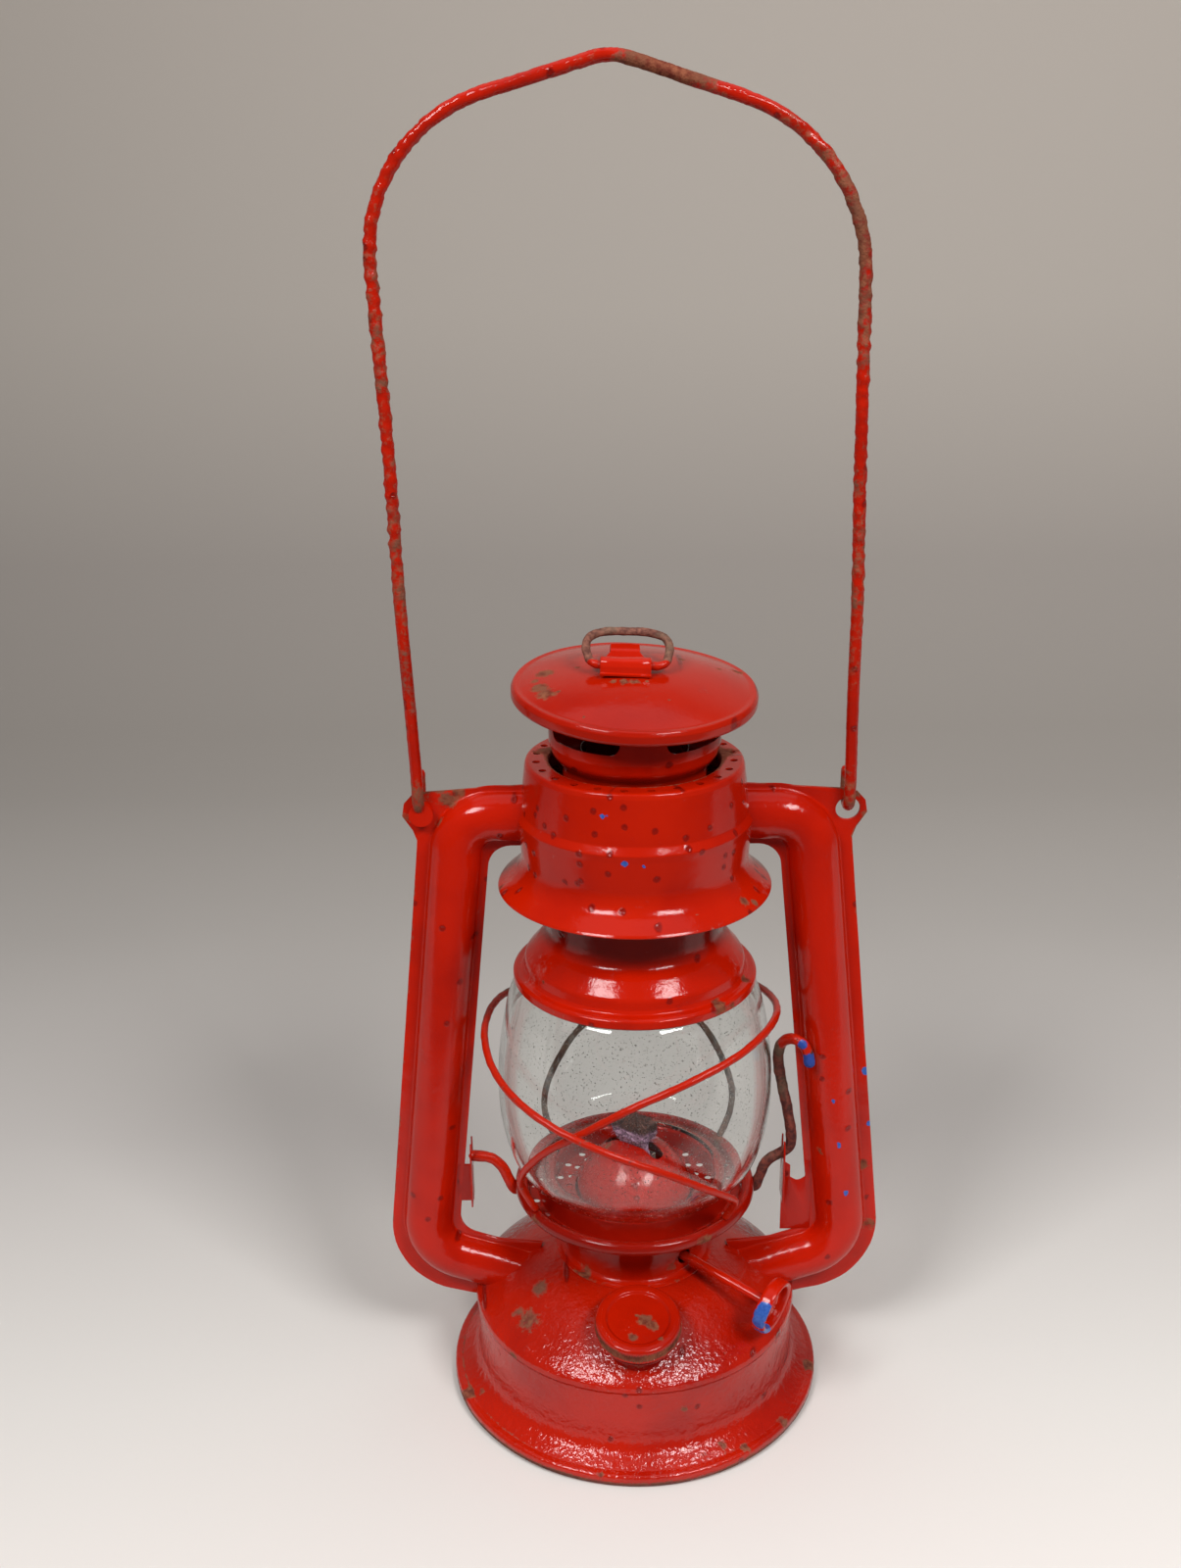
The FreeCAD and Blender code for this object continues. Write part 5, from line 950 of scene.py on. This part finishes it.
def makeTent():
    # A neck that widens above the hood into a wall with four windows, cut off under the tilted cap.
    t, wall = tent, tent["radius"]
    line = bentLine(t["neck"] + [(wall, 219.6, 5), (wall, 231.0, 0), (wall, t["top"], 0)], 12)
    grid = spun(sheetLoop(filled(line, 0.8), t["sheet"]), 224, sag=0.08, span=12, seed=66)
    up, under = capPlace[:3, 2], moved((0, 0, t["underCap"]), capPlace)
    ceiling = under[2] - ((grid[..., :2] - under[:2]) @ up[:2]) / up[2]
    grid[..., 2] += ramp(grid[..., 2], t["top"] - 9, t["top"]) * (ceiling - t["top"])
    piece = putMesh("vented_collar", grid)
    half = math.radians(t["window"] / 2) * wall
    over = t["knifeTop"]
    opening = filled(bentLine([(-half, over, 0), (-half, t["foot"], 3.2), (half, t["foot"], 3.2), (half, over, 0),
                               (-half + 0.1, over, 0)], 10), 1.5)
    knives = []
    for number in range(t["windows"]):
        turn = opening[:, 0] / wall + math.radians((number + 0.5) * 360 / t["windows"] + t["turn"])
        rings = [np.stack([reach * np.sin(turn), -reach * np.cos(turn), opening[:, 1]], 1)
                 for reach in t["knifeReach"]]
        knives.append(putMesh("window%d" % number, np.stack(rings), closed=False))
    cutAway(piece, *knives)
    points = coordinates(piece)
    z = points[:, 2]
    inside = np.hypot(points[:, 0], points[:, 1]) < wall - 0.35
    # soot and painted shade: near-black inside the wall under the cap; painted shade on the neck down in the hood's
    # opening
    mark(piece, soot=np.where(inside & (z > 219.5), 0.9, 0.0) + 0.12 * (z < 216),
         worn=0.3 * bell(z, t["foot"], 1.2), blue=t["blue"], rust=[(12, -20, 220, 1.2, 0.9)])
    settle(piece, tentEnamel, "chimney", "vented_tent")


# Cap, in its own tilted place

cap = {
    "wall": 0.55, "domeFoot": (33.3, 0.25), "domeTop": (0.02, 6.0),
    "rim": [(33.4, -3.9, 0), (35.0, -4.0, 0.8), (35.65, -3.0, 1.2), (35.65, -0.9, 1.2), (34.9, 0.35, 0.9),
            (33.9, 0.3, 0.7), (33.3, 0.25, 0)],
    "rust": [(-25.2, -13.8, 237.3, 3.8, 1.1), (-27.2, -9, 237.6, 3.4, 1.1), (-25.8, 1.0, 239.2, 3.4, 1.1),
             (-28.5, -3.5, 238, 1.8, 1.0), (-16.3, 0.8, 240.9, 1.3, 1.0), (-21.7, -13.7, 238.1, 0.9, 1.1),
             (-14.7, -27.3, 235, 0.7, 1.1), (8.9, -19.8, 237.2, 0.7, 1.1), (24.9, 7.1, 238.2, 1.3, 1.0),
             (30.5, 10.9, 236.2, 2.4, 1.0), (-3.5, -12.2, 240.9, 2.4, 1.15), (-6.4, -11.8, 240.9, 2.0, 1.1),
             (-0.2, -12.0, 240.9, 2.2, 1.1), (3.2, -11.4, 241, 1.4, 1.0), (14, 9, 240.8, 1.6, 0.9)]}
capEnamel = painted("capEnamel", (0.4, 0.0088, 0.0006), (0.33, 0.0056, 0.0008), dust=0.3, peel=0.7, blister=0.03,
                    chip=0.08, bump=0.25)


def makeCap():
    # A rolled rim and a dome that is part of a sphere, turned about the cap's own tilted axis and dented.
    dome = domeLine(cap["domeFoot"], cap["domeTop"], 34)
    outer = filled(np.vstack([bentLine(cap["rim"], 14), dome[1:]]), 0.9)
    grid = spun(np.vstack([innerLine(outer, cap["wall"], 0.02), outer]), 256)
    grid[..., 2] += ripple(grid, 22, 71) * 0.16 + ripple(grid, 9, 72) * 0.06
    outward = np.clip(np.hypot(grid[..., 0], grid[..., 1]) / 35, 0, 1)
    grid[..., :2] *= 1 + (ripple(grid, 30, 73) * 0.004 * outward)[..., None]
    piece = putMesh("cap_dome", moved(grid, capPlace), closed=False)
    local = seenFrom(coordinates(piece), capPlace)
    worn = nearRims(local, [(35.6, -2, 1.8, 0.35)])
    mark(piece, worn=np.maximum(worn, 0.55 * bell(local[:, 0], 0, 12) * bell(local[:, 1], 28, 9)), rust=cap["rust"])
    settle(piece, capEnamel, "chimney", "cap")


# Ring strap and lifting ring, in the cap's place

ring = {
    "wire": 1.22, "hinge": (-2.4, -6.0, 8.2), "lean": 20.0, "strapX": -3.1, "strapHalf": 0.3,
    "strapWide": ([-12, -8.5, -3.6, 0.5, 2.0, 9], [7.4, 7.2, 7.2, 7.2, 4.3, 4.3]),  # half its width, from front to back
    "strap": [(-9.6, 6.5, 0), (-8.6, 6.7, 0.4), (-8.4, 8.6, 1.6), (-7.6, 10.25, 1.6), (-4.4, 10.25, 1.7),
              (-3.9, 7.4, 1.2), (0.8, 7.0, 1.0), (2.2, 9.6, 1.2), (6.4, 10.1, 1.2), (8.6, 6.9, 1.2), (9.0, 6.0, 0)],
    "loop": [(0.4, 0, 0, 0), (10.6, 0, 0, 3.2), (12.1, 7, 0, 9), (11.6, 12.6, 0, 5), (6, 15.0, 0, 9)]}
strapEnamel = painted("strapEnamel", (0.51, 0.011, 0.001), (0.41, 0.0072, 0.001), dust=0.15, peel=0.6, blister=0.0,
                      chip=0.0, bump=0.25)
ringIron = paintedIron("ringIron", (0.1, 0.03, 0.022), (0.27, 0.105, 0.07), -0.25)


def makeStrap():
    # A bent strip: flat foot in front, rolled round the ring, then back and up over a step.
    path = filled(bentLine(ring["strap"], 10), 0.6)
    across = leftOf(path)
    wide = np.interp(path[:, 0], *ring["strapWide"])[:, None]
    xs = np.array([-1, -0.97, -0.5, 0, 0.5, 0.97, 1]) * wide
    thick = ring["strapHalf"] - np.where(np.abs(xs) >= wide * 0.999, 0.18, 0.0)
    top, low = [np.stack([xs, path[:, :1] + across[:, :1] * t, path[:, 1:] + across[:, 1:] * t], 2)
                for t in (thick, -thick)]
    grid = np.concatenate([top, low[:, ::-1]], 1)
    grid[..., 0] += ring["strapX"]
    grid[..., 2] += ripple(grid, 5, 80) * 0.1
    piece = putMesh("ring_strap_folded", moved(grid, capPlace), closed=False, sharp=50)
    mark(piece, rust=[(-2.5, -13.0, 241.6, 1.6, 0.9), (-4, -2.0, 243.4, 2.2, 0.85), (3.4, -11.5, 242, 1.2, 0.8)])
    settle(piece, strapEnamel, "chimney", "ring_strap")


def makeLiftRing():
    # A round wire along half a loop and its mirror image, leaning on its hinge.
    place = capPlace @ frameAt(ring["hinge"], ("X", ring["lean"]))
    mirrored = [(-x, y, z, bend) for x, y, z, bend in ring["loop"][::-1]]
    path = softened(evenly(bentLine(ring["loop"] + mirrored, 12), 0.7), 3)
    grid = swept(path, tipped(path, ring["wire"]), 18, bumps=0.07, span=1.6, seed=83)
    piece = putMesh("lift_ring_wire", moved(grid, place), closed=False)
    mark(piece, red=np.clip(1 - seenFrom(coordinates(piece), place)[:, 1] / 3.5, 0, 1))
    settle(piece, ringIron, "lift_ring", "lift_ring")


makeBell()
makeTent()
makeCap()
makeStrap()
makeLiftRing()
print("chimney made")

# Bail

bail = {"radius": 1.75, "bumps": 0.17, "pivot": 201.7, "hook": 3.6, "left": -63.6, "right": 62.9,
        "leftCorner": (-70.6, 384.0, 71), "apex": (-5.8, 402.2, 14), "rightCorner": (59.4, 381.2, 62)}
bailEnamel = painted("bailEnamel", (0.46, 0.0096, 0.001), (0.28, 0.0056, 0.002), dust=0.3, peel=1.4, blister=0.2,
                     chip=0.6, bump=0.5)


def makeBail():
    # A dented round wire along bends from one hook over the peak to the other, rustier where it is bare.
    b = bail
    h, p = b["hook"], b["pivot"]
    hooks = {side: [(b[side], h, p + 8, 0), (b[side], h, p - h, h), (b[side], -h, p - h, h), (b[side], -h, p + 6, 60)]
             for side in ("left", "right")}
    over = [(x, -h, z, bend) for x, z, bend in (b["leftCorner"], b["apex"], b["rightCorner"])]
    path = softened(evenly(bentLine(hooks["left"] + over + hooks["right"][::-1], 16), 0.75), 12)
    path[:, 0] += ripple(path, 60, 90) * 0.5 * ramp(path[:, 2], 215, 255)
    height = path[:, 2]
    rough = np.clip((height - 240) / 40, 0.15, 1) * np.where(height > 385, 0.45, 1.0)
    grid = swept(path, tipped(path, b["radius"]), 16)
    swellings = ripple(grid, 1.9, 91) + 0.7 * ripple(grid, 0.95, 92) + 0.4 * ripple(grid, 6, 93)
    grid = grid + unit(grid - path[:, None]) * (swellings * rough[:, None])[..., None] * b["bumps"]
    piece = putMesh("bail_wire", grid, closed=False, sharp=80)
    x, _, z = coordinates(piece).T
    bare = bell(z, 355, 40) * 0.55 * (x > 0) + bell(z, 330, 60) * 0.35 * (x < 0)
    for patch in (bell(z, 398, 7) * bell(x, 8, 18) * 0.75, 0.35 * bell(z, 270, 40), 0.45 * bell(z, 203, 7)):
        bare = np.maximum(bare, patch)
    mark(piece, worn=bare * 1.55)
    settle(piece, bailEnamel, "bail", "bail")


makeBail()
print("bail made")

# Globe carrier: glass, plate and wires

globe = {
    "wall": 1.7, "foot": [(26.9, 73.85), (29.2, 73.85)], "neck": [(28.2, 149.6), (27.9, 152.4)],
    "bows": [((31.4, 74.7), (39.8, 85.5), 20), ((39.8, 85.5), (42.9, 106), 69.3), ((42.9, 106), (39, 137), 125),
             ((39, 137), (29.4, 147.9), 16)],
    "index": 1.42, "footStain": (0.0758, 0.0744)}
plate = {
    "sheet": 0.5, "holeRadius": 1.17, "floor": 67.0, "holes": ((24, 32.45, 0.0), (20, 24.6, 8.0), (24, 21.2, 1.0)),
    "outline": [(36.2, 67.6, 0), (37.3, 67.9, 0.8), (37.9, 69.0, 1.2), (37.7, 70.6, 1.2), (36.4, 71.2, 1.2),
                (34.9, 70.2, 0.9), (34.2, 67.3, 0.8), (30.7, 67.1, 0.8), (30.0, 69.8, 0.8), (29.0, 73.4, 0.9),
                (26.4, 73.4, 0.9), (26.0, 67.2, 0.8), (19.5, 67.0, 0)],
    "rust": [(-30, -20, 68, 4, 0.7), (20, -32, 69, 3, 0.7), (30, 20, 70, 5, 0.8)]}
# painted shade: the plate inside the globe is a darker red than the paint outside it, for the dimmer light under the
# glass
plateEnamel = painted("plateEnamel", (0.27, 0.005, 0.001), (0.2, 0.0035, 0.001), dust=0.15, peel=0.8, blister=0.08,
                      chip=0.12, bump=0.3)


def makeGlassMaterial():
    # Blown glass with dark specks, a faint smear and a stained foot.
    made, tree, shader, v = newMaterial("clearGlobe")
    specks = stepUp(noise(v, 1300, 2, 0.5), 0.67, 0.7)
    rough = timesPlus(specks, 0.4, times(stepUp(noise(v, 45, 4, 0.6), 0.5, 0.8), 0.03))
    colour = blendColour(times(specks, 0.85), (0.97, 0.985, 0.975, 1), (0.08, 0.06, 0.05, 1))
    height = node(tree, "SeparateXYZ", Vector=v).outputs[2]
    foot = times(stepUp(times(height, -1.0), *[-edge for edge in globe["footStain"]]), 0.6)
    relief = node(tree, "Bump", Strength=0.12, Distance=0.0006, Height=noise(v, 35, 2))
    plug(shader, {"Base Color": blendColour(foot, colour, (0.5, 0.38, 0.22, 1)), "Roughness": rough,
                  "Normal": relief.outputs["Normal"], "Transmission Weight": 1.0, "IOR": globe["index"]})

    # lamps shine through the glass on what is inside it
    passing = node(tree, "LightPath").outputs["Is Shadow Ray"]
    clear = node(tree, "BsdfTransparent", Color=(0.76, 0.76, 0.75, 1)).outputs["BSDF"]
    mixed = node(tree, "MixShader", i0=passing, i1=shader.outputs["BSDF"], i2=clear)
    plug(tree.nodes["Material Output"], {"Surface": mixed.outputs["Shader"]})
    return made


clearGlass = makeGlassMaterial()


def makeGlass():
    # Arcs of four radii from foot to neck, made even and soft, given a wall and turned, slightly out of round.
    bows = [bowLine(*bow)[min(number, 1):] for number, bow in enumerate(globe["bows"])]
    outer = softened(evenly(np.vstack([globe["foot"], *bows, globe["neck"]]), 1.0), 6)
    grid = spun(sheetLoop(outer, globe["wall"]))
    grid[..., :2] *= 1 + ripple(grid, 30, 95)[..., None] * 0.0012
    settle(putMesh("globe_blown", grid, sharp=70), clearGlass, "globe_carrier", "globe_glass")


def makePlate():
    # Turned sheet with a rolled rim, a groove and a ridge, and three circles of round holes.
    loop = sheetLoop(filled(bentLine(plate["outline"], 12), 0.9)[::-1], plate["sheet"])
    piece = putMesh("globe_seat", spun(loop, 256, sag=0.07, span=14, seed=97))
    spots = np.vstack([bearing(np.arange(n) * 360 / n + shift, r, plate["floor"]) for n, r, shift in plate["holes"]])
    cutAway(piece, pegs("holes", spots, np.tile([[0, 0, 1.0]], (len(spots), 1)), plate["holeRadius"], 4))
    mark(piece, worn=nearRims(coordinates(piece), [(37.9, 69.5, 1.5, 0.45), (27.7, 73.5, 2.2, 0.35)]),
         rust=plate["rust"])
    settle(piece, plateEnamel, "globe_carrier", "globe_plate")


# Wires: the guards by (bearing, radius, height), the lift wire by its points

guards = {
    "left": [(-58, 36.3, 71.3), (-58, 39.0, 76), (-58, 42.2, 83), (-51, 44.6, 91), (-38, 45.0, 103), (-22, 45.0, 112.5),
             (-4, 44.8, 122.5), (18, 45.0, 129.5), (40, 45.3, 133.6), (60, 45.0, 135.5), (78, 44.4, 134.5),
             (94, 44.0, 132.3), (112, 44.3, 130), (130, 44.6, 127), (150, 44.6, 122.5), (170, 44.6, 117.3),
             (186, 44.8, 112), (197, 45.2, 107), (205, 45.4, 101.5), (212, 45.4, 95.5), (219, 45.2, 89),
             (224, 44.4, 82.8), (227, 42.3, 78.4), (229, 39.3, 75.3), (229, 36.3, 71.3)],
    "right": [(48, 36.3, 71.3), (48, 39.0, 76), (45, 42.6, 82), (30, 45.6, 91), (10, 47.0, 102), (-10, 47.9, 109),
              (-30, 48.2, 114), (-50, 47.8, 117.8), (-70, 47.5, 121.5), (-90, 47.2, 125.3), (-108, 46.7, 127.3),
              (-127, 46.7, 125), (-147, 47.4, 121.3), (-166, 47.9, 118), (-184, 47.9, 114.6), (-200, 47.0, 110.8),
              (-212, 45.9, 106), (-220, 45.4, 99.8), (-227, 45.3, 93), (-232, 44.8, 86), (-234, 42.6, 80),
              (-235, 39.4, 75.5), (-235, 36.3, 71.3)]}
lift = {
    "guardRadius": 1.15, "wireRadius": 1.7, "circle": 32.78, "low": 64.75,
    "left": [(-53.2, 0, 78.8), (-46.6, 0, 78.8), (-42.6, 0, 75.6), (-39.9, 0, 68.2), (-38.8, 1.1, 64.75)],
    "right": [(38.8, 1.1, 64.75), (39.9, 0, 68.9), (42.2, 0, 76.4), (46.6, 0, 78.8), (50.3, 0, 81.2), (50.0, 0, 88),
              (48.2, 0, 97), (45.8, 0, 107.5), (44.7, -1, 115.5), (45.4, -4.5, 122), (48.6, -8.2, 125.4),
              (52.4, -9.6, 123), (54.0, -9.8, 115.6)],
    "tip": (49, -8.5, 124), "blue": [(53.6, -10.5, 118.5, 3.2, 0.95), (51.0, -10.4, 124.0, 2.0, 0.85)]}
guardIron = paintedIron("guardIron", (0.06, 0.03, 0.024), (0.24, 0.13, 0.09), -0.15, 0.4)
leverIron = paintedIron("leverIron", (0.05, 0.012, 0.012), (0.22, 0.045, 0.03), -0.35)


def wireLine(spots):
    # Straight runs with the widest bends that fit, then smoothed: the way the wire lies in the model.
    path = bentLine(np.hstack([spots, np.full((len(spots), 1), 500.0)]), 24)
    return softened(evenly(path, 0.8), 4)


def makeWires():
    # Round wires along their smoothed routes. The guards keep more paint in front than behind.
    for number, (word, spots) in enumerate(guards.items()):
        path = wireLine(bearing(*np.array(spots, float).T))
        grid = swept(path, tipped(path, lift["guardRadius"]), 14, bumps=0.05, span=2.2, seed=100 + number)
        piece = putMesh(word + "_guard", grid, closed=False, sharp=80)
        mark(piece, red=1.3 - 1.1 * ramp(coordinates(piece)[:, 1], 5, 25))
        settle(piece, guardIron, "globe_carrier", word + "_guard_wire")

    under = bearing(np.arange(-105, -270, -15), lift["circle"], lift["low"])
    path = wireLine(np.vstack([lift["left"], under, lift["right"]]))
    grid = swept(path, tipped(path, lift["wireRadius"]), 16, bumps=0.09, span=2.0, seed=103)
    piece = putMesh("lift_lever_wire", grid, closed=False, sharp=80)
    points = coordinates(piece)
    tip = bell(np.linalg.norm(points - lift["tip"], axis=1), 0, 7)
    mark(piece, red=np.maximum(ramp(-points[:, 0], 0, 20), 1.4 * tip), blue=lift["blue"])
    settle(piece, leverIron, "globe_carrier", "lift_wire")


# Lift brackets: (across, height, bend)

bracket = {
    "flapWall": 0.5, "plateWall": 0.55, "bevel": 0.12,
    "flap": [(-4.4, 62.4, 0), (4.4, 62.4, 0.5), (4.4, 80.5, 1.5), (2.6, 84.6, 0.3), (2.0, 84.6, 0.3), (2.0, 78.0, 0.6),
             (0, 76.9, 1.6), (-2.0, 78.0, 0.6), (-2.0, 84.6, 0.3), (-2.6, 84.6, 0.3), (-4.4, 80.5, 1.5),
             (-4.4, 62.6, 0)],
    "left": [(-57.2, 62.4, 0), (-51.9, 62.4, 0.4), (-51.9, 76, 0.8), (-57.2, 76, 0.8), (-57.2, 62.6, 0)],
    "right": [(47.5, 50.5, 0), (57.2, 50.5, 0.8), (57.2, 76.5, 1), (55, 76.5, 0.6), (55, 70.2, 0.6), (52.6, 68.6, 2.0),
              (50.2, 70.2, 0.6), (50.2, 74.5, 0.5), (47.5, 76.5, 0.5), (47.5, 50.7, 0)],
    "places": {"left": -52.5, "right": 47.5}}
bracketEnamel = painted("bracketEnamel", (0.44, 0.008, 0.001), (0.27, 0.0048, 0.002), dust=0.25, peel=1.0,
                        blister=0.1, chip=0.2, bump=0.35)


def bracketPlate(name, corners, wall, place, cadNode=None):
    # A flat outline filled with one face, given its thickness and a fine bevel.
    outline = filled(bentLine(corners), 1.0)
    points = moved(np.hstack([outline, np.zeros((len(outline), 1))]), place)
    piece = putFaces(name, points, [list(range(len(points)))], 30)
    thick = piece.modifiers.new("wall", "SOLIDIFY")
    thick.thickness, thick.offset = wall * mm, 1.0
    edge = piece.modifiers.new("edge", "BEVEL")
    edge.width, edge.segments, edge.limit_method = bracket["bevel"] * mm, 2, "ANGLE"
    mark(piece, worn=np.full(len(points), 0.25))
    settle(piece, bracketEnamel, "frame", cadNode)


def makeBrackets():
    # Upright pointed flaps with a slit, and the plates that are soldered over the tubes' flanges.
    for word, x in bracket["places"].items():
        bracketPlate(word + "_flap", bracket["flap"], bracket["flapWall"], frameAt((x, 0, 0), ("Z", 90), ("X", 90)),
                     word + "_lift_bracket")
        bracketPlate(word + "_bracket_plate", bracket[word], bracket["plateWall"], frameAt((0, 0, 0), ("X", 90)))


makeGlass()
makePlate()
makeWires()
makeBrackets()
print("globe carrier made")

# Pieces that stay as the model has them, inside the tank, burner and hood

kept = {"tank_floor": darkEnamel, "air_chamber": plainSteel, "burner_body": darkEnamel, "wick_tube": plainSteel,
        "wick_wheels": plainSteel, "chimney_guide": darkEnamel, "chimney_spring": plainSteel}
for name, material in kept.items():
    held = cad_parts[name]
    held.data.materials.clear()
    held.data.materials.append(material)

# Floor and backdrop, in metres. A stop is (metres along the sheet from the lantern, colour); the stops paint the
# light's falloff:
# dark near the camera, pale under the lantern, grey up the wall.

stage = {
    "wide": 3.0, "front": -1.1, "bendStart": 0.55, "bend": 0.55, "wallTop": 1.9, "leftShare": 0.86, "rightShare": 1.14,
    "stops": [(-0.8, (0.1, 0.095, 0.09)), (-0.2, (0.16, 0.15, 0.145)), (-0.14, (0.84, 0.79, 0.755)),
              (-0.02, (0.72, 0.69, 0.66)), (0.14, (0.54, 0.51, 0.49)), (0.34, (0.445, 0.418, 0.395)),
              (0.66, (0.375, 0.345, 0.318)), (0.94, (0.40, 0.363, 0.335)), (1.3, (0.55, 0.50, 0.452)),
              (1.7, (0.63, 0.57, 0.515))]}


def makeStage():
    # A paper sweep: flat floor, a quarter circle, then a wall.
    s = stage
    turn = np.linspace(0, math.pi / 2, 20)
    curve = np.stack([s["bendStart"] + s["bend"] * np.sin(turn), s["bend"] * (1 - np.cos(turn))], 1)
    line = np.vstack([[(s["front"], 0), (0, 0)], curve, [(s["bendStart"] + s["bend"], s["wallTop"])]])
    count = 9
    across = np.linspace(-s["wide"] / 2, s["wide"] / 2, count)
    y, z = [np.tile(column[:, None], (1, count)) for column in line.T]
    grid = np.stack([np.tile(across, (len(line), 1)), y, z], 2)
    index = np.arange(len(line) * count).reshape(-1, count)
    quads = np.stack([index[:-1, :-1], index[:-1, 1:], index[1:, 1:], index[1:, :-1]], -1).reshape(-1, 4)
    piece = putFaces("paper", grid.reshape(-1, 3), quads.tolist(), scale=1)

    made, tree, shader, v = newMaterial("greyPaper")
    x, y, z = node(tree, "SeparateXYZ", Vector=v).outputs
    first, last = s["stops"][0][0], s["stops"][-1][0]
    far = node(tree, "MapRange", Value=maths("ADD", y, z), **{"From Min": first, "From Max": last}).outputs["Result"]
    shade = node(tree, "ValToRGB", Fac=far)
    elements = shade.color_ramp.elements
    while len(elements) < len(s["stops"]):
        elements.new(0.5)
    for element, (spot, colour) in zip(elements, s["stops"]):
        element.position, element.color = (spot - first) / (last - first), colour + (1,)
    # painted light: the paper is darker to the left and brighter to the right
    paintedSideLight = node(tree, "MapRange", Value=x, **{"From Min": -0.6, "From Max": 0.6, "To Min": s["leftShare"],
                                                 "To Max": s["rightShare"]}).outputs["Result"]
    scaled = node(tree, "VectorMath", {"operation": "SCALE"}, i0=shade.outputs["Color"], Scale=paintedSideLight)
    plug(shader, {"Base Color": scaled.outputs["Vector"], "Roughness": 0.9, "Specular IOR Level": 0.15})
    piece.data.materials.append(made)


# Soft boxes, the room's own light and the camera, in metres, watts and degrees

lights = {
    "leftBox": {"at": (-0.6, -0.74, 1.1), "size": (0.46, 0.3), "power": 10.6},
    "rightBox": {"at": (0.58, -0.76, 1.1), "size": (0.46, 0.3), "power": 11.2},
    "topBox": {"at": (0.0, 0.1, 1.5), "size": (1.6, 1.4), "power": 4.5}}
lightAim = (0, 0, 0.12)
room = {"Color": (1.0, 0.97, 0.93, 1), "Strength": 0.13}


def makeLights():
    # Rectangular lamps that face one point, and an even light from all around.
    for name, values in lights.items():
        data = bpy.data.lights.new(name, "AREA")
        data.shape, data.energy = "RECTANGLE", values["power"]
        data.size, data.size_y = values["size"]
        lamp = bpy.data.objects.new(name, data)
        bpy.context.scene.collection.objects.link(lamp)
        lamp.location = values["at"]
        lamp.rotation_euler = (Vector(values["at"]) - Vector(lightAim)).to_track_quat("Z", "Y").to_euler()
    world = bpy.data.worlds.new("room")
    bpy.context.scene.world = world
    world.use_nodes = True
    plug(world.node_tree.nodes["Background"], room)


camera = {"at": (-0.013, -0.447, 0.3685), "pitch": 20.03, "roll": 0.52, "focal": 1650, "frameHeight": 1600, "film": 36}


def makeCamera():
    # The axes of a camera that looks along +Y, pitched down and then rolled about its own line of sight.
    c = camera
    p, r = math.radians(c["pitch"]), math.radians(c["roll"])
    right, up = np.array([1.0, 0, 0]), np.array([0, math.sin(p), math.cos(p)])
    back = np.array([0, -math.cos(p), math.sin(p)])
    turned = np.stack([math.cos(r) * right - math.sin(r) * up, math.sin(r) * right + math.cos(r) * up, back], 1)
    data = bpy.data.cameras.new("viewer")
    data.sensor_fit, data.sensor_width, data.sensor_height = "AUTO", c["film"], c["film"]
    data.lens = c["film"] * c["focal"] / c["frameHeight"]
    data.clip_start, data.clip_end = 0.01, 20
    viewer = bpy.data.objects.new("viewer", data)
    bpy.context.scene.collection.objects.link(viewer)
    place = Matrix(turned.tolist()).to_4x4()
    place.translation = c["at"]
    viewer.matrix_world = place
    bpy.context.scene.camera = viewer


makeStage()
makeLights()
makeCamera()
bpy.context.scene.view_settings.view_transform = "Standard"
print("stage, lights and camera made")
